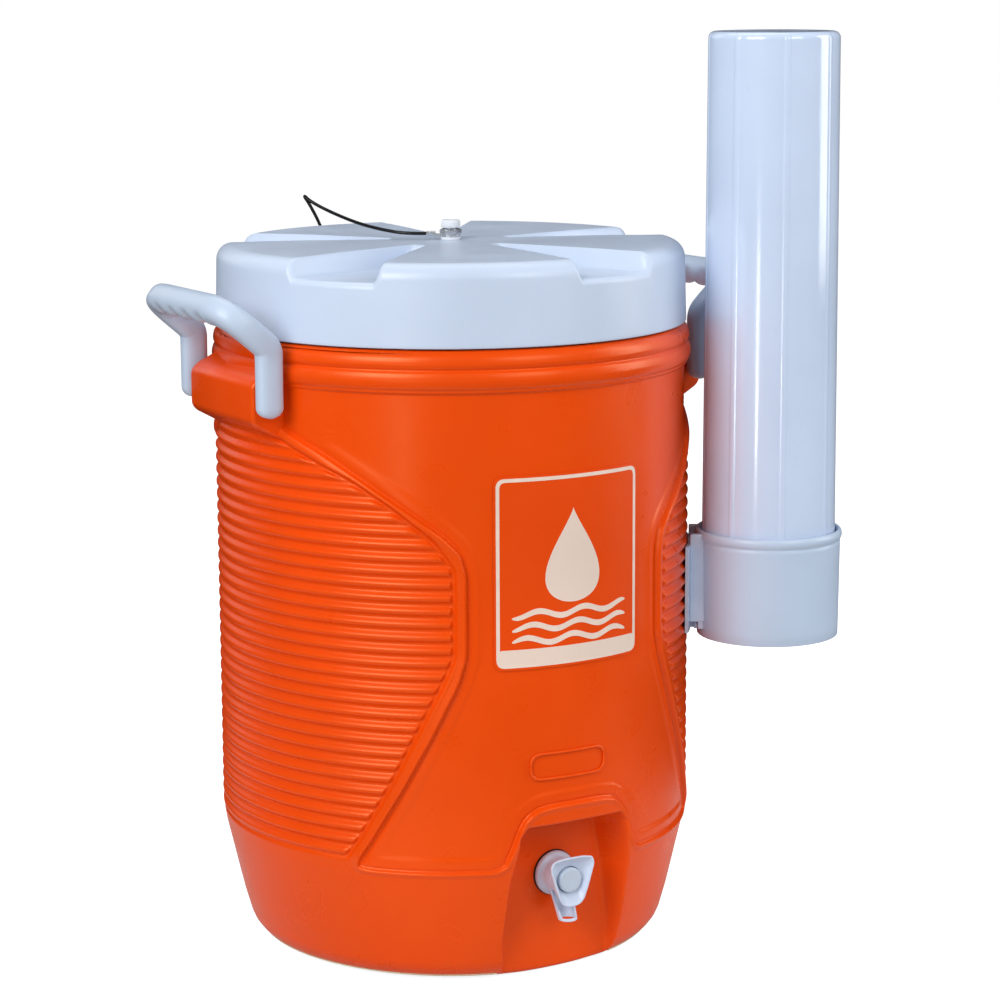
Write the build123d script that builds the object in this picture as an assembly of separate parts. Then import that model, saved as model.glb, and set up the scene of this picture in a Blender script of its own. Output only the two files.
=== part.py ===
"""Insulated five-gallon beverage dispenser: a screw lid, push-button tap, swing handles and a cup tube.

Millimetres, +Z up. The origin is the centre of the base on the body's axis, and the tap faces -Y.
Every separate piece is written to its own STEP file in parts/.
"""

from build123d import *
import math
import os

# ---------------------------------------------------------------- driving dimensions
BODY_R = 162.0  # crests of the ribs and the frames round the panels
PANEL_R = 159.2  # sunk front and back panels
RIB_DEPTH = 2.2
RIB_PITCH = 8.6
RIB_COUNT = 32
RIB_START_Z = 88.5
BASE_R = 131.0  # circle that the dispenser stands on
BASE_TOP_Z = 88.0
SHELL_INNER_R = 156.4
LEDGE_Z = 421.0  # top of the outer shell, where the neck starts

NECK_R = 149.0
NECK_WALL = 3.0
NECK_TOP_Z = 453.0
TANK_TOP_R = 133.5
TANK_BOTTOM_R = 117.5
TANK_FLOOR_Z = 24.0
TANK_WALL = 3.0

THREAD_STARTS = 3
THREAD_LEAD = 30.0
THREAD_DEPTH = 2.4
THREAD_WIDTH = 3.0

LID_R = 160.0
LID_BOTTOM_Z = 425.0
LID_TOP_Z = 479.0
LID_WALL = 2.8
LID_RECESSES = 5
LID_RECESS_FLOOR_Z = 466.0
LID_RECESS_ANGLE = 13.0  # of the first recess, from the front towards +X

HANDLE_X = 167.0
HANDLE_Y = 56.0
HANDLE_PIVOT_Z = 386.0
HANDLE_ROD_R = 8.5
HANDLE_GRIP_R = 10.0
HANDLE_ELBOW_Z = 424.0
HANDLE_GRIP_X = 196.0
HANDLE_GRIP_Z = 446.0
HANDLE_PIN_R = 4.0
BRACKET_X = 175.0
BRACKET_HALF_Y = 46.5
PIN_CLEARANCE = 0.05

TAP_Z = 67.5
TAP_Y = -130.0  # floor of the tap recess
TAP_GASKET = 1.0
SHANK_R = 9.0
BUTTON_R = 8.5
STEM_R = 2.5

CUP_ANGLE = 57.0  # of the cup tube, from the front towards +X
CUP_AXIS_R = 217.4
CUP_TUBE_TOP_R = 44.6
CUP_TUBE_BOTTOM_R = 46.4
CUP_TUBE_WALL = 2.0
CUP_TUBE_BOTTOM_Z = 211.2
CUP_TUBE_TOP_Z = 618.0
COLLAR_BOTTOM_Z = 207.0
COLLAR_TOP_Z = 280.0
COLLAR_BOTTOM_R = 48.6
COLLAR_TOP_R = 49.4

STUD_R = 3.0
CABLE_D = 2.4
CRIMP_R = 1.95
CRIMP_LENGTH = 6.5

# The tether's route, from the crimp on the lid's swivel to the crimp on the back of the body.
TETHER_ROUTE = [
    (-14.8, 7.7, 483.2),
    (-27.2, 14.15, 483.2),
    (-36.0, 28.5, 485.0),
    (-43.0, 45.0, 487.6),
    (-48.0, 62.5, 491.2),
    (-51.5, 86.0, 496.0),
    (-50.0, 111.0, 500.0),
    (-42.0, 134.0, 501.5),
    (-32.0, 152.5, 498.5),
    (-20.0, 167.0, 490.5),
    (-9.0, 173.5, 476.0),
    (-3.0, 171.5, 456.0),
    (0.0, 166.6, 438.0),
    (0.0, 166.6, 420.0),
]


# ---------------------------------------------------------------- helpers
def turned(points):
    """A solid of revolution about Z from a closed outline of (radius, z) points."""
    return revolve(make_face(Plane.XZ * Polyline(*points, close=True)), Axis.Z)


def turned_curve(edges):
    """A solid of revolution about Z from joined edges drawn in (radius, z)."""
    return revolve(Plane.XZ * make_face(Curve() + edges), Axis.Z)


def along_y(radius, y0, y1, x=0.0, z=0.0):
    """A cylinder along Y between two y values."""
    plane = Plane(origin=(x, y0, z), x_dir=(1, 0, 0), z_dir=(0, 1, 0))
    return extrude(plane * Circle(radius), y1 - y0)


def upright(radius, z0, z1, x=0.0, y=0.0):
    """A cylinder along Z between two z values."""
    return Pos(x, y, z0) * extrude(Circle(radius), z1 - z0)


def tube(outer, inner, z0, z1, x=0.0, y=0.0):
    return upright(outer, z0, z1, x, y) - upright(inner, z0 - 1, z1 + 1, x, y)


def prism_y(points, y0, y1):
    """An (x, z) outline drawn out along Y."""
    plane = Plane(origin=(0, y0, 0), x_dir=(1, 0, 0), z_dir=(0, -1, 0))
    return extrude(plane * make_face(Polyline(*points, close=True)), y0 - y1)


def mirrored_outline(half):
    """An outline symmetric about x = 0 from its +X half, listed from bottom to top."""
    return half + [(-x, z) for x, z in reversed(half)]


def loft_y(lower, y0, upper, y1):
    """A straight-sided solid between two (x, z) outlines that have the same number of points."""
    sections = []
    for points, y in ((lower, y0), (upper, y1)):
        plane = Plane(origin=(0, y, 0), x_dir=(1, 0, 0), z_dir=(0, -1, 0))
        sections.append(plane * make_face(Polyline(*points, close=True)))
    return loft(sections, ruled=True)


def grown(points, by, centre):
    """An outline moved outwards from a centre by about a distance."""
    out = []
    for x, z in points:
        dx, dz = x - centre[0], z - centre[1]
        size = math.hypot(dx, dz)
        out.append((x + dx / size * by, z + dz / size * by))
    return out


def around(angle, radius):
    """The (x, y) of a place on the body, by its angle from the front towards +X."""
    a = math.radians(angle)
    return radius * math.sin(a), -radius * math.cos(a)


def thread(radius, outward, z0, turns, phase):
    """The ridges of a multi-start thread on a cylinder, each a sweep along part of a helix."""
    ridges = []
    root = -0.6 * outward
    for start in range(THREAD_STARTS):
        path = Helix(pitch=THREAD_LEAD, height=THREAD_LEAD * turns, radius=radius)
        section_plane = Plane(origin=path @ 0, x_dir=(1, 0, 0), z_dir=path % 0)
        half_root = THREAD_WIDTH / 2
        half_crest = THREAD_WIDTH / 2 - 0.7
        section = make_face(
            section_plane
            * Polyline(
                (root, -half_root),
                (outward * THREAD_DEPTH, -half_crest),
                (outward * THREAD_DEPTH, half_crest),
                (root, half_root),
                close=True,
            )
        )
        ridge = sweep(section, path=path, is_frenet=True)
        turn = phase + 360.0 / THREAD_STARTS * start
        ridges.append(Pos(0, 0, z0) * Rot(0, 0, turn) * ridge)
    return ridges


# ---------------------------------------------------------------- tap recess
RECESS_MOUTH = mirrored_outline([(52, -12), (52, 30), (47, 72), (39, 104), (31, 113)])
RECESS_FLOOR = mirrored_outline([(41, -12), (41, 30), (37, 70), (32, 97), (26, 104)])
RECESS_MOUTH_Y = -170.0
RECESS_CENTRE = (0, 50)


def recess_cutter(extra=0.0):
    """The hollow round the tap, optionally thicker all round, as the shell's inner side needs."""
    mouth = grown(RECESS_MOUTH, 6 + extra, RECESS_CENTRE)
    floor = grown(RECESS_FLOOR, extra, RECESS_CENTRE) if extra else RECESS_FLOOR
    return loft_y(mouth, RECESS_MOUTH_Y, floor, TAP_Y + extra)


# ---------------------------------------------------------------- outer shell
def shell_form():
    """The outside of the shell as a plain solid of revolution, with the beads under the lid."""
    edges = [
        Line((0, 0), (BASE_R, 0)),
        ThreePointArc((BASE_R, 0), (140.2, 4.6), (144.5, 15)),
        Line((144.5, 15), (148.5, 30)),
        Line((148.5, 30), (159.6, BASE_TOP_Z - 4)),
        ThreePointArc((159.6, BASE_TOP_Z - 4), (161.4, BASE_TOP_Z + 0.5), (BODY_R, BASE_TOP_Z + 6)),
        Line((BODY_R, BASE_TOP_Z + 6), (BODY_R, 396)),
        Line((BODY_R, 396), (161, 398.5)),
        ThreePointArc((161, 398.5), (163.2, 405), (161, 411.5)),
        ThreePointArc((161, 411.5), (162.2, 415.8), (160.5, LEDGE_Z)),
        Line((160.5, LEDGE_Z), (0, LEDGE_Z)),
        Line((0, LEDGE_Z), (0, 0)),
    ]
    return turned_curve(edges) - tube(100, 95, -1, 1.5)


def shell_hollow():
    """The inside of the shell: the body's cavity less the walls of the tap recess."""
    wall = NECK_R - NECK_WALL
    cavity = turned(
        [
            (0, 4),
            (137, 4),
            (141.5, 16),
            (SHELL_INNER_R, BASE_TOP_Z + 8),
            (SHELL_INNER_R, LEDGE_Z - 3.5),
            (wall, LEDGE_Z - 3.5),
            (wall, LEDGE_Z + 1),
            (0, LEDGE_Z + 1),
        ]
    )
    return cavity - recess_cutter(3.0)


def rib_grooves():
    """Everything outside the wavy rib surface, on the two sides of the body only."""
    crest = BODY_R + 0.02
    valley = BODY_R - RIB_DEPTH
    top = RIB_START_Z + RIB_PITCH * RIB_COUNT
    edges = [Line((crest + 6, RIB_START_Z), (valley, RIB_START_Z))]
    for k in range(RIB_COUNT):
        z = RIB_START_Z + RIB_PITCH * k
        edges.append(ThreePointArc((valley, z), (crest, z + RIB_PITCH / 2), (valley, z + RIB_PITCH)))
    edges += [Line((valley, top), (crest + 6, top)), Line((crest + 6, top), (crest + 6, RIB_START_Z))]
    ring = turned_curve(edges)
    windows = []
    for side in (-1, 1):
        outline = [(side * x, z) for x, z in RIB_WINDOW]
        windows.append(prism_y(outline, 200, -200))
    return ring & (windows[0] + windows[1])


# The hourglass outline of the ribbed sides and of the front and back panels, as +X halves.
RIB_WINDOW = [(200, 86), (134, 86), (80, 223.5), (80, 291), (154, 360.5), (154, 380), (200, 380)]
PANEL_HALF = [(48, 95), (52, 83), (128.5, 83), (72, 221), (72, 293.5), (152, 367.5), (152, 392)]
ARCH_HALF = [(44, 109), (36.5, 118), (27, 121.5)]


def panels():
    """The shallow front and back panels as rings to cut away; the front one leaves an arch for the tap."""
    skin = tube(BODY_R + 6, PANEL_R, 60, 396)
    front_half = list(reversed(ARCH_HALF)) + PANEL_HALF
    back_half = [(52, 83)] + PANEL_HALF[2:]
    front = skin & prism_y(mirrored_outline(front_half), -60, -200)
    back = skin & prism_y(mirrored_outline(back_half), 200, 60)
    return front, back


def handle_bracket(side):
    """The moulded block that carries one handle, with a blind pin hole in each end."""
    upper = [(150, 411), (161, 407), (171, 402), (BRACKET_X, 398)]
    lower = [(BRACKET_X, 375), (171, 371), (155, 354), (150, 352)]
    return prism_y([(side * x, z) for x, z in upper + lower], BRACKET_HALF_Y, -BRACKET_HALF_Y)


def pin_holes(side):
    hole = HANDLE_PIN_R + PIN_CLEARANCE
    reach = BRACKET_HALF_Y - 11
    holes = [
        along_y(hole, reach, BRACKET_HALF_Y + 1, side * HANDLE_X, HANDLE_PIVOT_Z),
        along_y(hole, -BRACKET_HALF_Y - 1, -reach, side * HANDLE_X, HANDLE_PIVOT_Z),
    ]
    return holes


BADGE_Z = (141.0, 159.0)
BADGE_ANGLES = (-12.0, 8.0)


def badge():
    """A low raised frame low on the front panel, with nothing written in it."""
    x0 = around(BADGE_ANGLES[0], PANEL_R)[0]
    x1 = around(BADGE_ANGLES[1], PANEL_R)[0]
    mid = ((x0 + x1) / 2, sum(BADGE_Z) / 2)
    width, height = x1 - x0, BADGE_Z[1] - BADGE_Z[0]
    plane = Plane(origin=(mid[0], -140, mid[1]), x_dir=(1, 0, 0), z_dir=(0, -1, 0))
    frame = plane * (RectangleRounded(width, height, 3) - RectangleRounded(width - 2.4, height - 2.4, 2))
    return extrude(frame, 30) & tube(PANEL_R + 0.8, PANEL_R - 1, 130, 170)


def outer_shell():
    shell = shell_form() - rib_grooves()
    for panel in panels():
        shell -= panel
    for side in (-1, 1):
        shell += handle_bracket(side)
    shell -= recess_cutter()
    shell += badge()
    shell -= shell_hollow()
    for side in (-1, 1):
        for hole in pin_holes(side):
            shell -= hole
    shell -= along_y(SHANK_R + 0.6, TAP_Y - 5, TAP_Y + 10, 0, TAP_Z)
    shell -= upright(10.05, -1, 10, 0, 60)
    for x, y, z, direction in wall_plate_screw_places():
        shell -= drilled(x, y, z, direction, 1.6, 14)
    return shell - anchor_hole()


def base_plug():
    """Closes the hole in the base through which the foam was poured."""
    return upright(10.0, 0.4, 5.5, 0, 60) + upright(12.5, 4.0, 5.5, 0, 60)


# ---------------------------------------------------------------- tank and insulation
def tank_outside():
    wall = TANK_WALL
    return turned(
        [
            (0, TANK_FLOOR_Z - wall),
            (TANK_BOTTOM_R - 4, TANK_FLOOR_Z - wall),
            (TANK_BOTTOM_R + wall, TANK_FLOOR_Z + 4),
            (TANK_TOP_R + wall, 430),
            (TANK_TOP_R + wall, NECK_TOP_Z - wall),
            (0, NECK_TOP_Z - wall),
        ]
    )


def tank_pad():
    """The flat boss on the tank's wall that the tap's seal and nut bear on."""
    return along_y(21, -125.0, -115.5, 0, TAP_Z)


def inner_tank():
    wall = TANK_WALL
    inside = turned(
        [
            (0, TANK_FLOOR_Z),
            (TANK_BOTTOM_R - 5, TANK_FLOOR_Z),
            (TANK_BOTTOM_R, TANK_FLOOR_Z + 5),
            (TANK_TOP_R, 430),
            (TANK_TOP_R, NECK_TOP_Z + 5),
            (0, NECK_TOP_Z + 5),
        ]
    )
    tank = tank_outside() + tank_pad()
    tank += tube(NECK_R, NECK_R - wall, LEDGE_Z, NECK_TOP_Z)
    tank += tube(NECK_R, TANK_TOP_R, NECK_TOP_Z - wall, NECK_TOP_Z)
    for ridge in thread(NECK_R, 1, 428.5, 0.5, 0):
        tank += ridge
    tank -= inside - tank_pad()
    return tank - along_y(SHANK_R + 0.2, -130, -100, 0, TAP_Z)


def wall_foam():
    """Rigid foam that fills the space between the shell and the tank."""
    foam = shell_hollow() - upright(400, LEDGE_Z - 3.5, LEDGE_Z + 10)
    foam += tube(NECK_R - NECK_WALL, TANK_TOP_R, LEDGE_Z - 3.5, NECK_TOP_Z - TANK_WALL)
    foam -= tank_outside() + tank_pad()
    foam -= along_y(SHANK_R + 0.6, -140, -110, 0, TAP_Z)
    foam -= upright(12.5, 0, 5.5, 0, 60)
    for x, y, z, direction in wall_plate_screw_places():
        foam -= drilled(x, y, z, direction, 1.6, 14)
    return foam - anchor_hole(0.3)


# ---------------------------------------------------------------- front label
LABEL_ANGLES = (-20.8, 18.8)
LABEL_Z = (216.0, 343.0)


def front_label():
    """A thin sticker on the front panel."""
    skin = tube(PANEL_R + 0.3, PANEL_R, *LABEL_Z)
    x0 = around(LABEL_ANGLES[0], PANEL_R)[0]
    x1 = around(LABEL_ANGLES[1], PANEL_R)[0]
    return skin & prism_y([(x0, 200), (x1, 200), (x1, 360), (x0, 360)], -100, -200)


# ---------------------------------------------------------------- tap
FLANGE_Y = TAP_Y - TAP_GASKET
RIM_Y = -154.8
BUTTON_FACE_Y = -152.5
GUIDE_Y = (-141.0, -139.0)
SEAT_Y = (-122.0, -120.5)
TAP_NUT_Y = -113.5
SHANK_END_Y = -103.0
DISH = mirrored_outline([(7.5, 50), (12.5, 62), (17.2, 78), (15.5, 82.5), (8, 84)])
DISH_BACK = mirrored_outline([(6.5, 55), (9.5, 61), (11.5, 70), (10.5, 76), (6, 78.5)])


def tap_gasket():
    disc = along_y(16.0, FLANGE_Y, TAP_Y, 0, TAP_Z)
    return disc - along_y(SHANK_R + 0.1, FLANGE_Y - 1, TAP_Y + 1, 0, TAP_Z)


def spout():
    upper = Plane(origin=(0, -140, 62)) * Ellipse(8.5, 8.5)
    lower = Plane(origin=(0, -145, 39.5)) * Ellipse(8.0, 8.2)
    return loft([upper, lower], ruled=True)


def tap_body():
    centre = (0, TAP_Z)
    body = along_y(15.0, FLANGE_Y - 3, FLANGE_Y, 0, TAP_Z)
    body += along_y(11.2, -150, FLANGE_Y - 2, 0, TAP_Z)
    body += along_y(SHANK_R, FLANGE_Y, SHANK_END_Y, 0, TAP_Z)
    body += loft_y(DISH, RIM_Y, DISH_BACK, -145)
    body += spout()
    inner_rim = grown(DISH, -1.8, centre)
    inner_back = grown(DISH_BACK, -0.6, centre)
    body -= loft_y(grown(inner_rim, 0.3, centre), RIM_Y - 1, inner_back, -149)
    body -= along_y(BUTTON_R + 0.35, -156, GUIDE_Y[0], 0, TAP_Z)
    body -= along_y(STEM_R + PIN_CLEARANCE, GUIDE_Y[0] - 1, GUIDE_Y[1] + 1, 0, TAP_Z)
    body -= along_y(6.5, GUIDE_Y[1], SEAT_Y[0], 0, TAP_Z)
    body -= along_y(4.6, SEAT_Y[0] - 1, SEAT_Y[1] + 1, 0, TAP_Z)
    body -= along_y(7.0, SEAT_Y[1], SHANK_END_Y + 1, 0, TAP_Z)
    body -= upright(2.6, 47, TAP_Z, 0, -136.2)
    outlet = Plane(origin=(0, -135, 50.5), z_dir=(0, -14, -8.5))
    body -= extrude(outlet * Circle(4.4), 14)
    body -= upright(5.6, 38, 46.5, 0, -145.6)
    return body


def tap_inner_seal():
    disc = along_y(14.0, -115.5, TAP_NUT_Y, 0, TAP_Z)
    return disc - along_y(SHANK_R + 0.1, -116, TAP_NUT_Y + 1, 0, TAP_Z)


def tap_nut():
    plane = Plane(origin=(0, TAP_NUT_Y, TAP_Z), x_dir=(1, 0, 0), z_dir=(0, 1, 0))
    nut = extrude(plane * RegularPolygon(15.0, 6), 8)
    return nut - along_y(SHANK_R + 0.05, TAP_NUT_Y - 1, TAP_NUT_Y + 9, 0, TAP_Z)


def tap_retainer():
    """The slotted disc in the end of the shank that the spring pushes against."""
    disc = along_y(6.9, -106.5, -104.5, 0, TAP_Z)
    for angle in (45, 135, 225, 315):
        x = 4.6 * math.cos(math.radians(angle))
        z = 4.6 * math.sin(math.radians(angle))
        disc -= along_y(1.4, -107, -104, x, TAP_Z + z)
    return disc


def tap_spring():
    turns = 4
    length = 10.0
    path = Helix(pitch=(length - 0.8) / turns, height=length - 0.8, radius=4.4)
    wire = sweep(Plane(origin=path @ 0, z_dir=path % 0) * Circle(0.4), path=path, is_frenet=True)
    return Pos(0, -106.5 - 0.4, TAP_Z) * Rot(90, 0, 0) * wire


def tap_button():
    face = along_y(BUTTON_R, BUTTON_FACE_Y, BUTTON_FACE_Y + 6, 0, TAP_Z)
    return fillet(face.edges().filter_by(GeomType.CIRCLE).sort_by(Axis.Y)[0], 0.8)


def tap_stem():
    return along_y(STEM_R, BUTTON_FACE_Y + 6, -117.0, 0, TAP_Z)


def tap_valve():
    """The rubber disc that closes on the seat from the tank's side."""
    return along_y(6.0, SEAT_Y[1], -117.0, 0, TAP_Z) - along_y(STEM_R, SEAT_Y[1] - 1, -116, 0, TAP_Z)


# ---------------------------------------------------------------- handles
def handle(side):
    """A bail with two legs, bent outwards, and pins that turn in the bracket."""
    corners = [
        (side * HANDLE_X, -HANDLE_Y, HANDLE_PIVOT_Z),
        (side * HANDLE_X, -HANDLE_Y, HANDLE_ELBOW_Z),
        (side * HANDLE_GRIP_X, -HANDLE_Y, HANDLE_GRIP_Z + 2),
        (side * HANDLE_GRIP_X, HANDLE_Y, HANDLE_GRIP_Z + 2),
        (side * HANDLE_X, HANDLE_Y, HANDLE_ELBOW_Z),
        (side * HANDLE_X, HANDLE_Y, HANDLE_PIVOT_Z),
    ]
    path = FilletPolyline(*corners, radius=12)
    rod = sweep(Plane(origin=path @ 0, z_dir=path % 0) * Circle(HANDLE_ROD_R), path=path)
    grip = along_y(HANDLE_GRIP_R, -38, 38, side * HANDLE_GRIP_X, HANDLE_GRIP_Z + 1.5)
    piece = rod + grip
    for end in (-1, 1):
        y = end * HANDLE_Y
        piece += Pos(side * HANDLE_X, y, HANDLE_PIVOT_Z) * Sphere(HANDLE_ROD_R)
        inner = end * (BRACKET_HALF_Y - 10)
        piece += along_y(HANDLE_PIN_R, min(y, inner), max(y, inner), side * HANDLE_X, HANDLE_PIVOT_Z)
    return piece


# ---------------------------------------------------------------- lid
def lid_outline(inset):
    """The lid's outside as a turned solid, or its inside when it is inset by the wall."""
    r = LID_R - inset
    top = LID_TOP_Z - inset
    bottom = LID_BOTTOM_Z - (1 if inset else 0)
    edges = [
        Line((0, bottom), (r, bottom)),
        Line((r, bottom), (r - 1.3, top - 11)),
        ThreePointArc((r - 1.3, top - 11), (r - 4.2, top - 4.0), (r - 11.5, top - 0.8)),
        Line((r - 11.5, top - 0.8), (0, top)),
        Line((0, top), (0, bottom)),
    ]
    return turned_curve(edges)


def lid_recess(angle, extra=0.0):
    """One wedge-shaped hollow in the lid's top, open through the rim."""
    floor_z = LID_RECESS_FLOOR_Z - extra
    outlines = []
    for tip_r, tip_half, rim_half in ((52, 3.0, 33.5), (38, 4.0, 40.0)):
        tip_half += extra * 0.7
        rim_half += extra * 0.7
        tip_r -= extra
        rim = 172
        outlines.append([(tip_r, -tip_half), (rim, -rim_half), (rim, rim_half), (tip_r, tip_half)])
    low = Plane(origin=(0, 0, floor_z)) * make_face(Polyline(*outlines[0], close=True))
    high = Plane(origin=(0, 0, LID_TOP_Z + 1)) * make_face(Polyline(*outlines[1], close=True))
    return Rot(0, 0, angle - 90) * loft([low, high], ruled=True)


def lid_angles():
    return [LID_RECESS_ANGLE + 360 / LID_RECESSES * k for k in range(LID_RECESSES)]


LINER_TOP_Z = 459.0
LINER_CEILING_Z = 456.0


def lid_cavity():
    """The space inside the lid's shell above its liner and all the way down to the rim."""
    inside = lid_outline(LID_WALL)
    for angle in lid_angles():
        inside -= lid_recess(angle, 2.6)
    return inside


def lid_shell():
    lid = lid_outline(0)
    for angle in lid_angles():
        lid -= lid_recess(angle)
    lid -= lid_cavity()
    return lid - upright(STUD_R + 0.1, 400, 500)


def lid_foam():
    foam = lid_cavity() & upright(200, LINER_TOP_Z, 500)
    return foam - upright(STUD_R + 0.1, 400, 500)


def lid_liner():
    """The lid's inner moulding: a ceiling over the tank and a threaded skirt round the neck."""
    outer = LID_R - LID_WALL - 1.4
    bore = NECK_R + THREAD_DEPTH + 0.8
    liner = upright(outer - 0.5, LINER_CEILING_Z, LINER_TOP_Z)
    liner += tube(outer, bore, LID_BOTTOM_Z + 2, LINER_TOP_Z)
    liner += tube(TANK_TOP_R - 2, TANK_TOP_R - 4.5, 442, LINER_TOP_Z - 1)
    for ridge in thread(bore, -1, 433.5, 0.45, 0):
        liner += ridge
    return liner - upright(STUD_R + 0.1, 400, 500)


def lid_gasket():
    return tube(NECK_R - 1, TANK_TOP_R + 3, NECK_TOP_Z + 0.1, LINER_CEILING_Z)


STACK_Z = {"washer": 479.0, "ring": 481.0, "nut": 483.0, "neck": 487.0, "knob": 490.5, "top": 496.0}


def lid_stud():
    """The screw through the lid's centre, with a shoulder under the knob."""
    stud = upright(STUD_R, 450, STACK_Z["knob"] + 3)
    return stud + upright(4.0, STACK_Z["neck"], STACK_Z["knob"])


def lid_washer():
    return tube(6.8, STUD_R + 0.05, STACK_Z["washer"], STACK_Z["ring"])


def lid_nut():
    nut = Pos(0, 0, STACK_Z["nut"]) * extrude(RegularPolygon(7.6, 6), STACK_Z["neck"] - STACK_Z["nut"])
    return nut - upright(STUD_R, 400, 500)


def lid_under_nut():
    nut = Pos(0, 0, LINER_CEILING_Z - 4) * extrude(RegularPolygon(5.8, 6), 4)
    return nut - upright(STUD_R, 400, 500)


def lid_knob():
    knob = upright(6.6, STACK_Z["knob"], STACK_Z["top"])
    for k in range(24):
        a = 2 * math.pi * k / 24
        knob -= upright(0.5, 480, 500, 6.8 * math.cos(a), 6.8 * math.sin(a))
    return knob - upright(STUD_R, 480, STACK_Z["knob"] + 3)


# ---------------------------------------------------------------- tether
def swivel_ring():
    """The ring terminal round the stud and the tang that the cable is crimped to."""
    z0 = STACK_Z["ring"] + 0.1
    z1 = STACK_Z["nut"] - 0.1
    ring = tube(6.6, STUD_R + 0.06, z0, z1)
    heading = math.degrees(math.atan2(TETHER_ROUTE[0][1], TETHER_ROUTE[0][0]))
    tang = Pos(6.0, 0, z0) * Box(6.0, 4.0, z1 - z0, align=(Align.MIN, Align.CENTER, Align.MIN))
    tang -= upright(6.5, 470, 490)
    return ring + Rot(0, 0, heading) * tang


def front_crimp():
    """The crimp sleeve on the swivel's tang, in line with the cable's first run."""
    start = Vector(*TETHER_ROUTE[0])
    back = (start - Vector(*TETHER_ROUTE[1])).normalized()
    sleeve = extrude(Plane(origin=start, z_dir=back) * Circle(CRIMP_R), CRIMP_LENGTH)
    return sleeve - swivel_ring()


def tether_cable():
    radii = []
    points = [Vector(*p) for p in TETHER_ROUTE]
    for i in range(1, len(points) - 1):
        a = points[i] - points[i - 1]
        b = points[i + 1] - points[i]
        half = math.radians(a.get_angle(b)) / 2
        radii.append(0.45 * min(a.length, b.length) / math.tan(half))
    path = FilletPolyline(*TETHER_ROUTE, radius=radii)
    cable = sweep(Plane(origin=path @ 0, z_dir=path % 0) * Circle(CABLE_D / 2), path=path)
    print("tether radii", [round(r, 1) for r in radii])
    print("tether length", round(path.length, 1))
    section = math.pi * CABLE_D**2 / 4
    print("tether volume", round(cable.volume, 1), "section x length", round(section * path.length, 1))
    return cable


ANCHOR_Z = 400.0
ANCHOR_Y = 164.2


def back_crimp():
    """The crimp on the cable's lower end, with a flat eye for the anchor screw."""
    x, y, z = TETHER_ROUTE[-1]
    sleeve = upright(CRIMP_R, z - CRIMP_LENGTH - 1, z, x, y)
    eye = along_y(5.2, ANCHOR_Y + 1.2, ANCHOR_Y + 3.2, 0, ANCHOR_Z + 1.5)
    eye += Pos(0, ANCHOR_Y + 2.2, ANCHOR_Z + 9) * Box(3.6, 2.0, 9.0)
    eye -= along_y(2.3, 150, 180, 0, ANCHOR_Z + 1.5)
    return sleeve + eye


def anchor_pad():
    """A small plastic pad that stands the anchor screw off the body."""
    pad = along_y(7.5, 155, ANCHOR_Y + 1.2, 0, ANCHOR_Z + 1.5) - upright(163.3, 380, 420)
    return pad - along_y(2.1, 150, 180, 0, ANCHOR_Z + 1.5)


def anchor_screw():
    screw = along_y(2.0, 148, ANCHOR_Y + 3.3, 0, ANCHOR_Z + 1.5)
    head = along_y(4.2, ANCHOR_Y + 3.2, ANCHOR_Y + 5.4, 0, ANCHOR_Z + 1.5)
    slot = Pos(0, ANCHOR_Y + 5.4, ANCHOR_Z + 1.5) * (Box(5.0, 2.2, 0.9) + Box(0.9, 2.2, 5.0))
    return screw + head - slot


def anchor_hole(clearance=0.0):
    return along_y(2.0 + clearance, 148 - clearance, 170, 0, ANCHOR_Z + 1.5)


# ---------------------------------------------------------------- cup dispenser
CUP_X, CUP_Y = around(CUP_ANGLE, CUP_AXIS_R)
PLATE_Z = (212.0, 272.0)
PLATE_INNER_R = BODY_R + 0.15
PLATE_OUTER_R = BODY_R + 2.4
BOSS_Z = (212.0, 279.0)
SLOT_LENGTH = 70.0
RAIL_NECK = 20.0
RAIL_HEAD = 28.0
RAIL_GAP = 0.3


def on_cup_side(shape):
    """Turns a shape modelled in front, on -Y, to the cup dispenser's side."""
    return Rot(0, 0, CUP_ANGLE) * shape


def wall_plate_screw_places():
    """Each wall-plate screw's place on the body and the way it points."""
    x, y = around(CUP_ANGLE, PLATE_OUTER_R)
    inward = around(CUP_ANGLE, -1.0)
    return [(x, y, z, inward) for z in (222.0, 262.0)]


def drilled(x, y, z, direction, radius, depth):
    plane = Plane(origin=(x, y, z), z_dir=(direction[0], direction[1], 0))
    return extrude(plane * Circle(radius), depth)


def wall_plate():
    """The curved plate screwed to the body, with a T-shaped rail that the collar hangs on."""
    middle = sum(PLATE_Z) / 2
    tall = PLATE_Z[1] - PLATE_Z[0]
    plate = tube(PLATE_OUTER_R, PLATE_INNER_R, *PLATE_Z)
    plate &= Pos(0, -165, middle) * Box(56, 40, 80)
    neck = Pos(0, -PLATE_OUTER_R - 0.85, middle) * Box(RAIL_NECK, 2.7, tall)
    head = Pos(0, -PLATE_OUTER_R - 2.95, middle) * Box(RAIL_HEAD, 1.7, tall)
    plate = on_cup_side(plate + neck + head)
    for x, y, z, direction in wall_plate_screw_places():
        plate -= drilled(x - 8 * direction[0], y - 8 * direction[1], z, direction, 3.6, 8.6)
        plate -= drilled(x - 8 * direction[0], y - 8 * direction[1], z, direction, 1.8, 20)
    return plate


def wall_plate_screws():
    screws = []
    for x, y, z, direction in wall_plate_screw_places():
        head_x, head_y = x - 1.0 * direction[0], y - 1.0 * direction[1]
        screw = drilled(head_x, head_y, z, direction, 3.3, 1.6)
        screw += drilled(head_x, head_y, z, direction, 1.6, 14.8)
        screws.append(screw)
    return Compound(children=screws)


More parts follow.
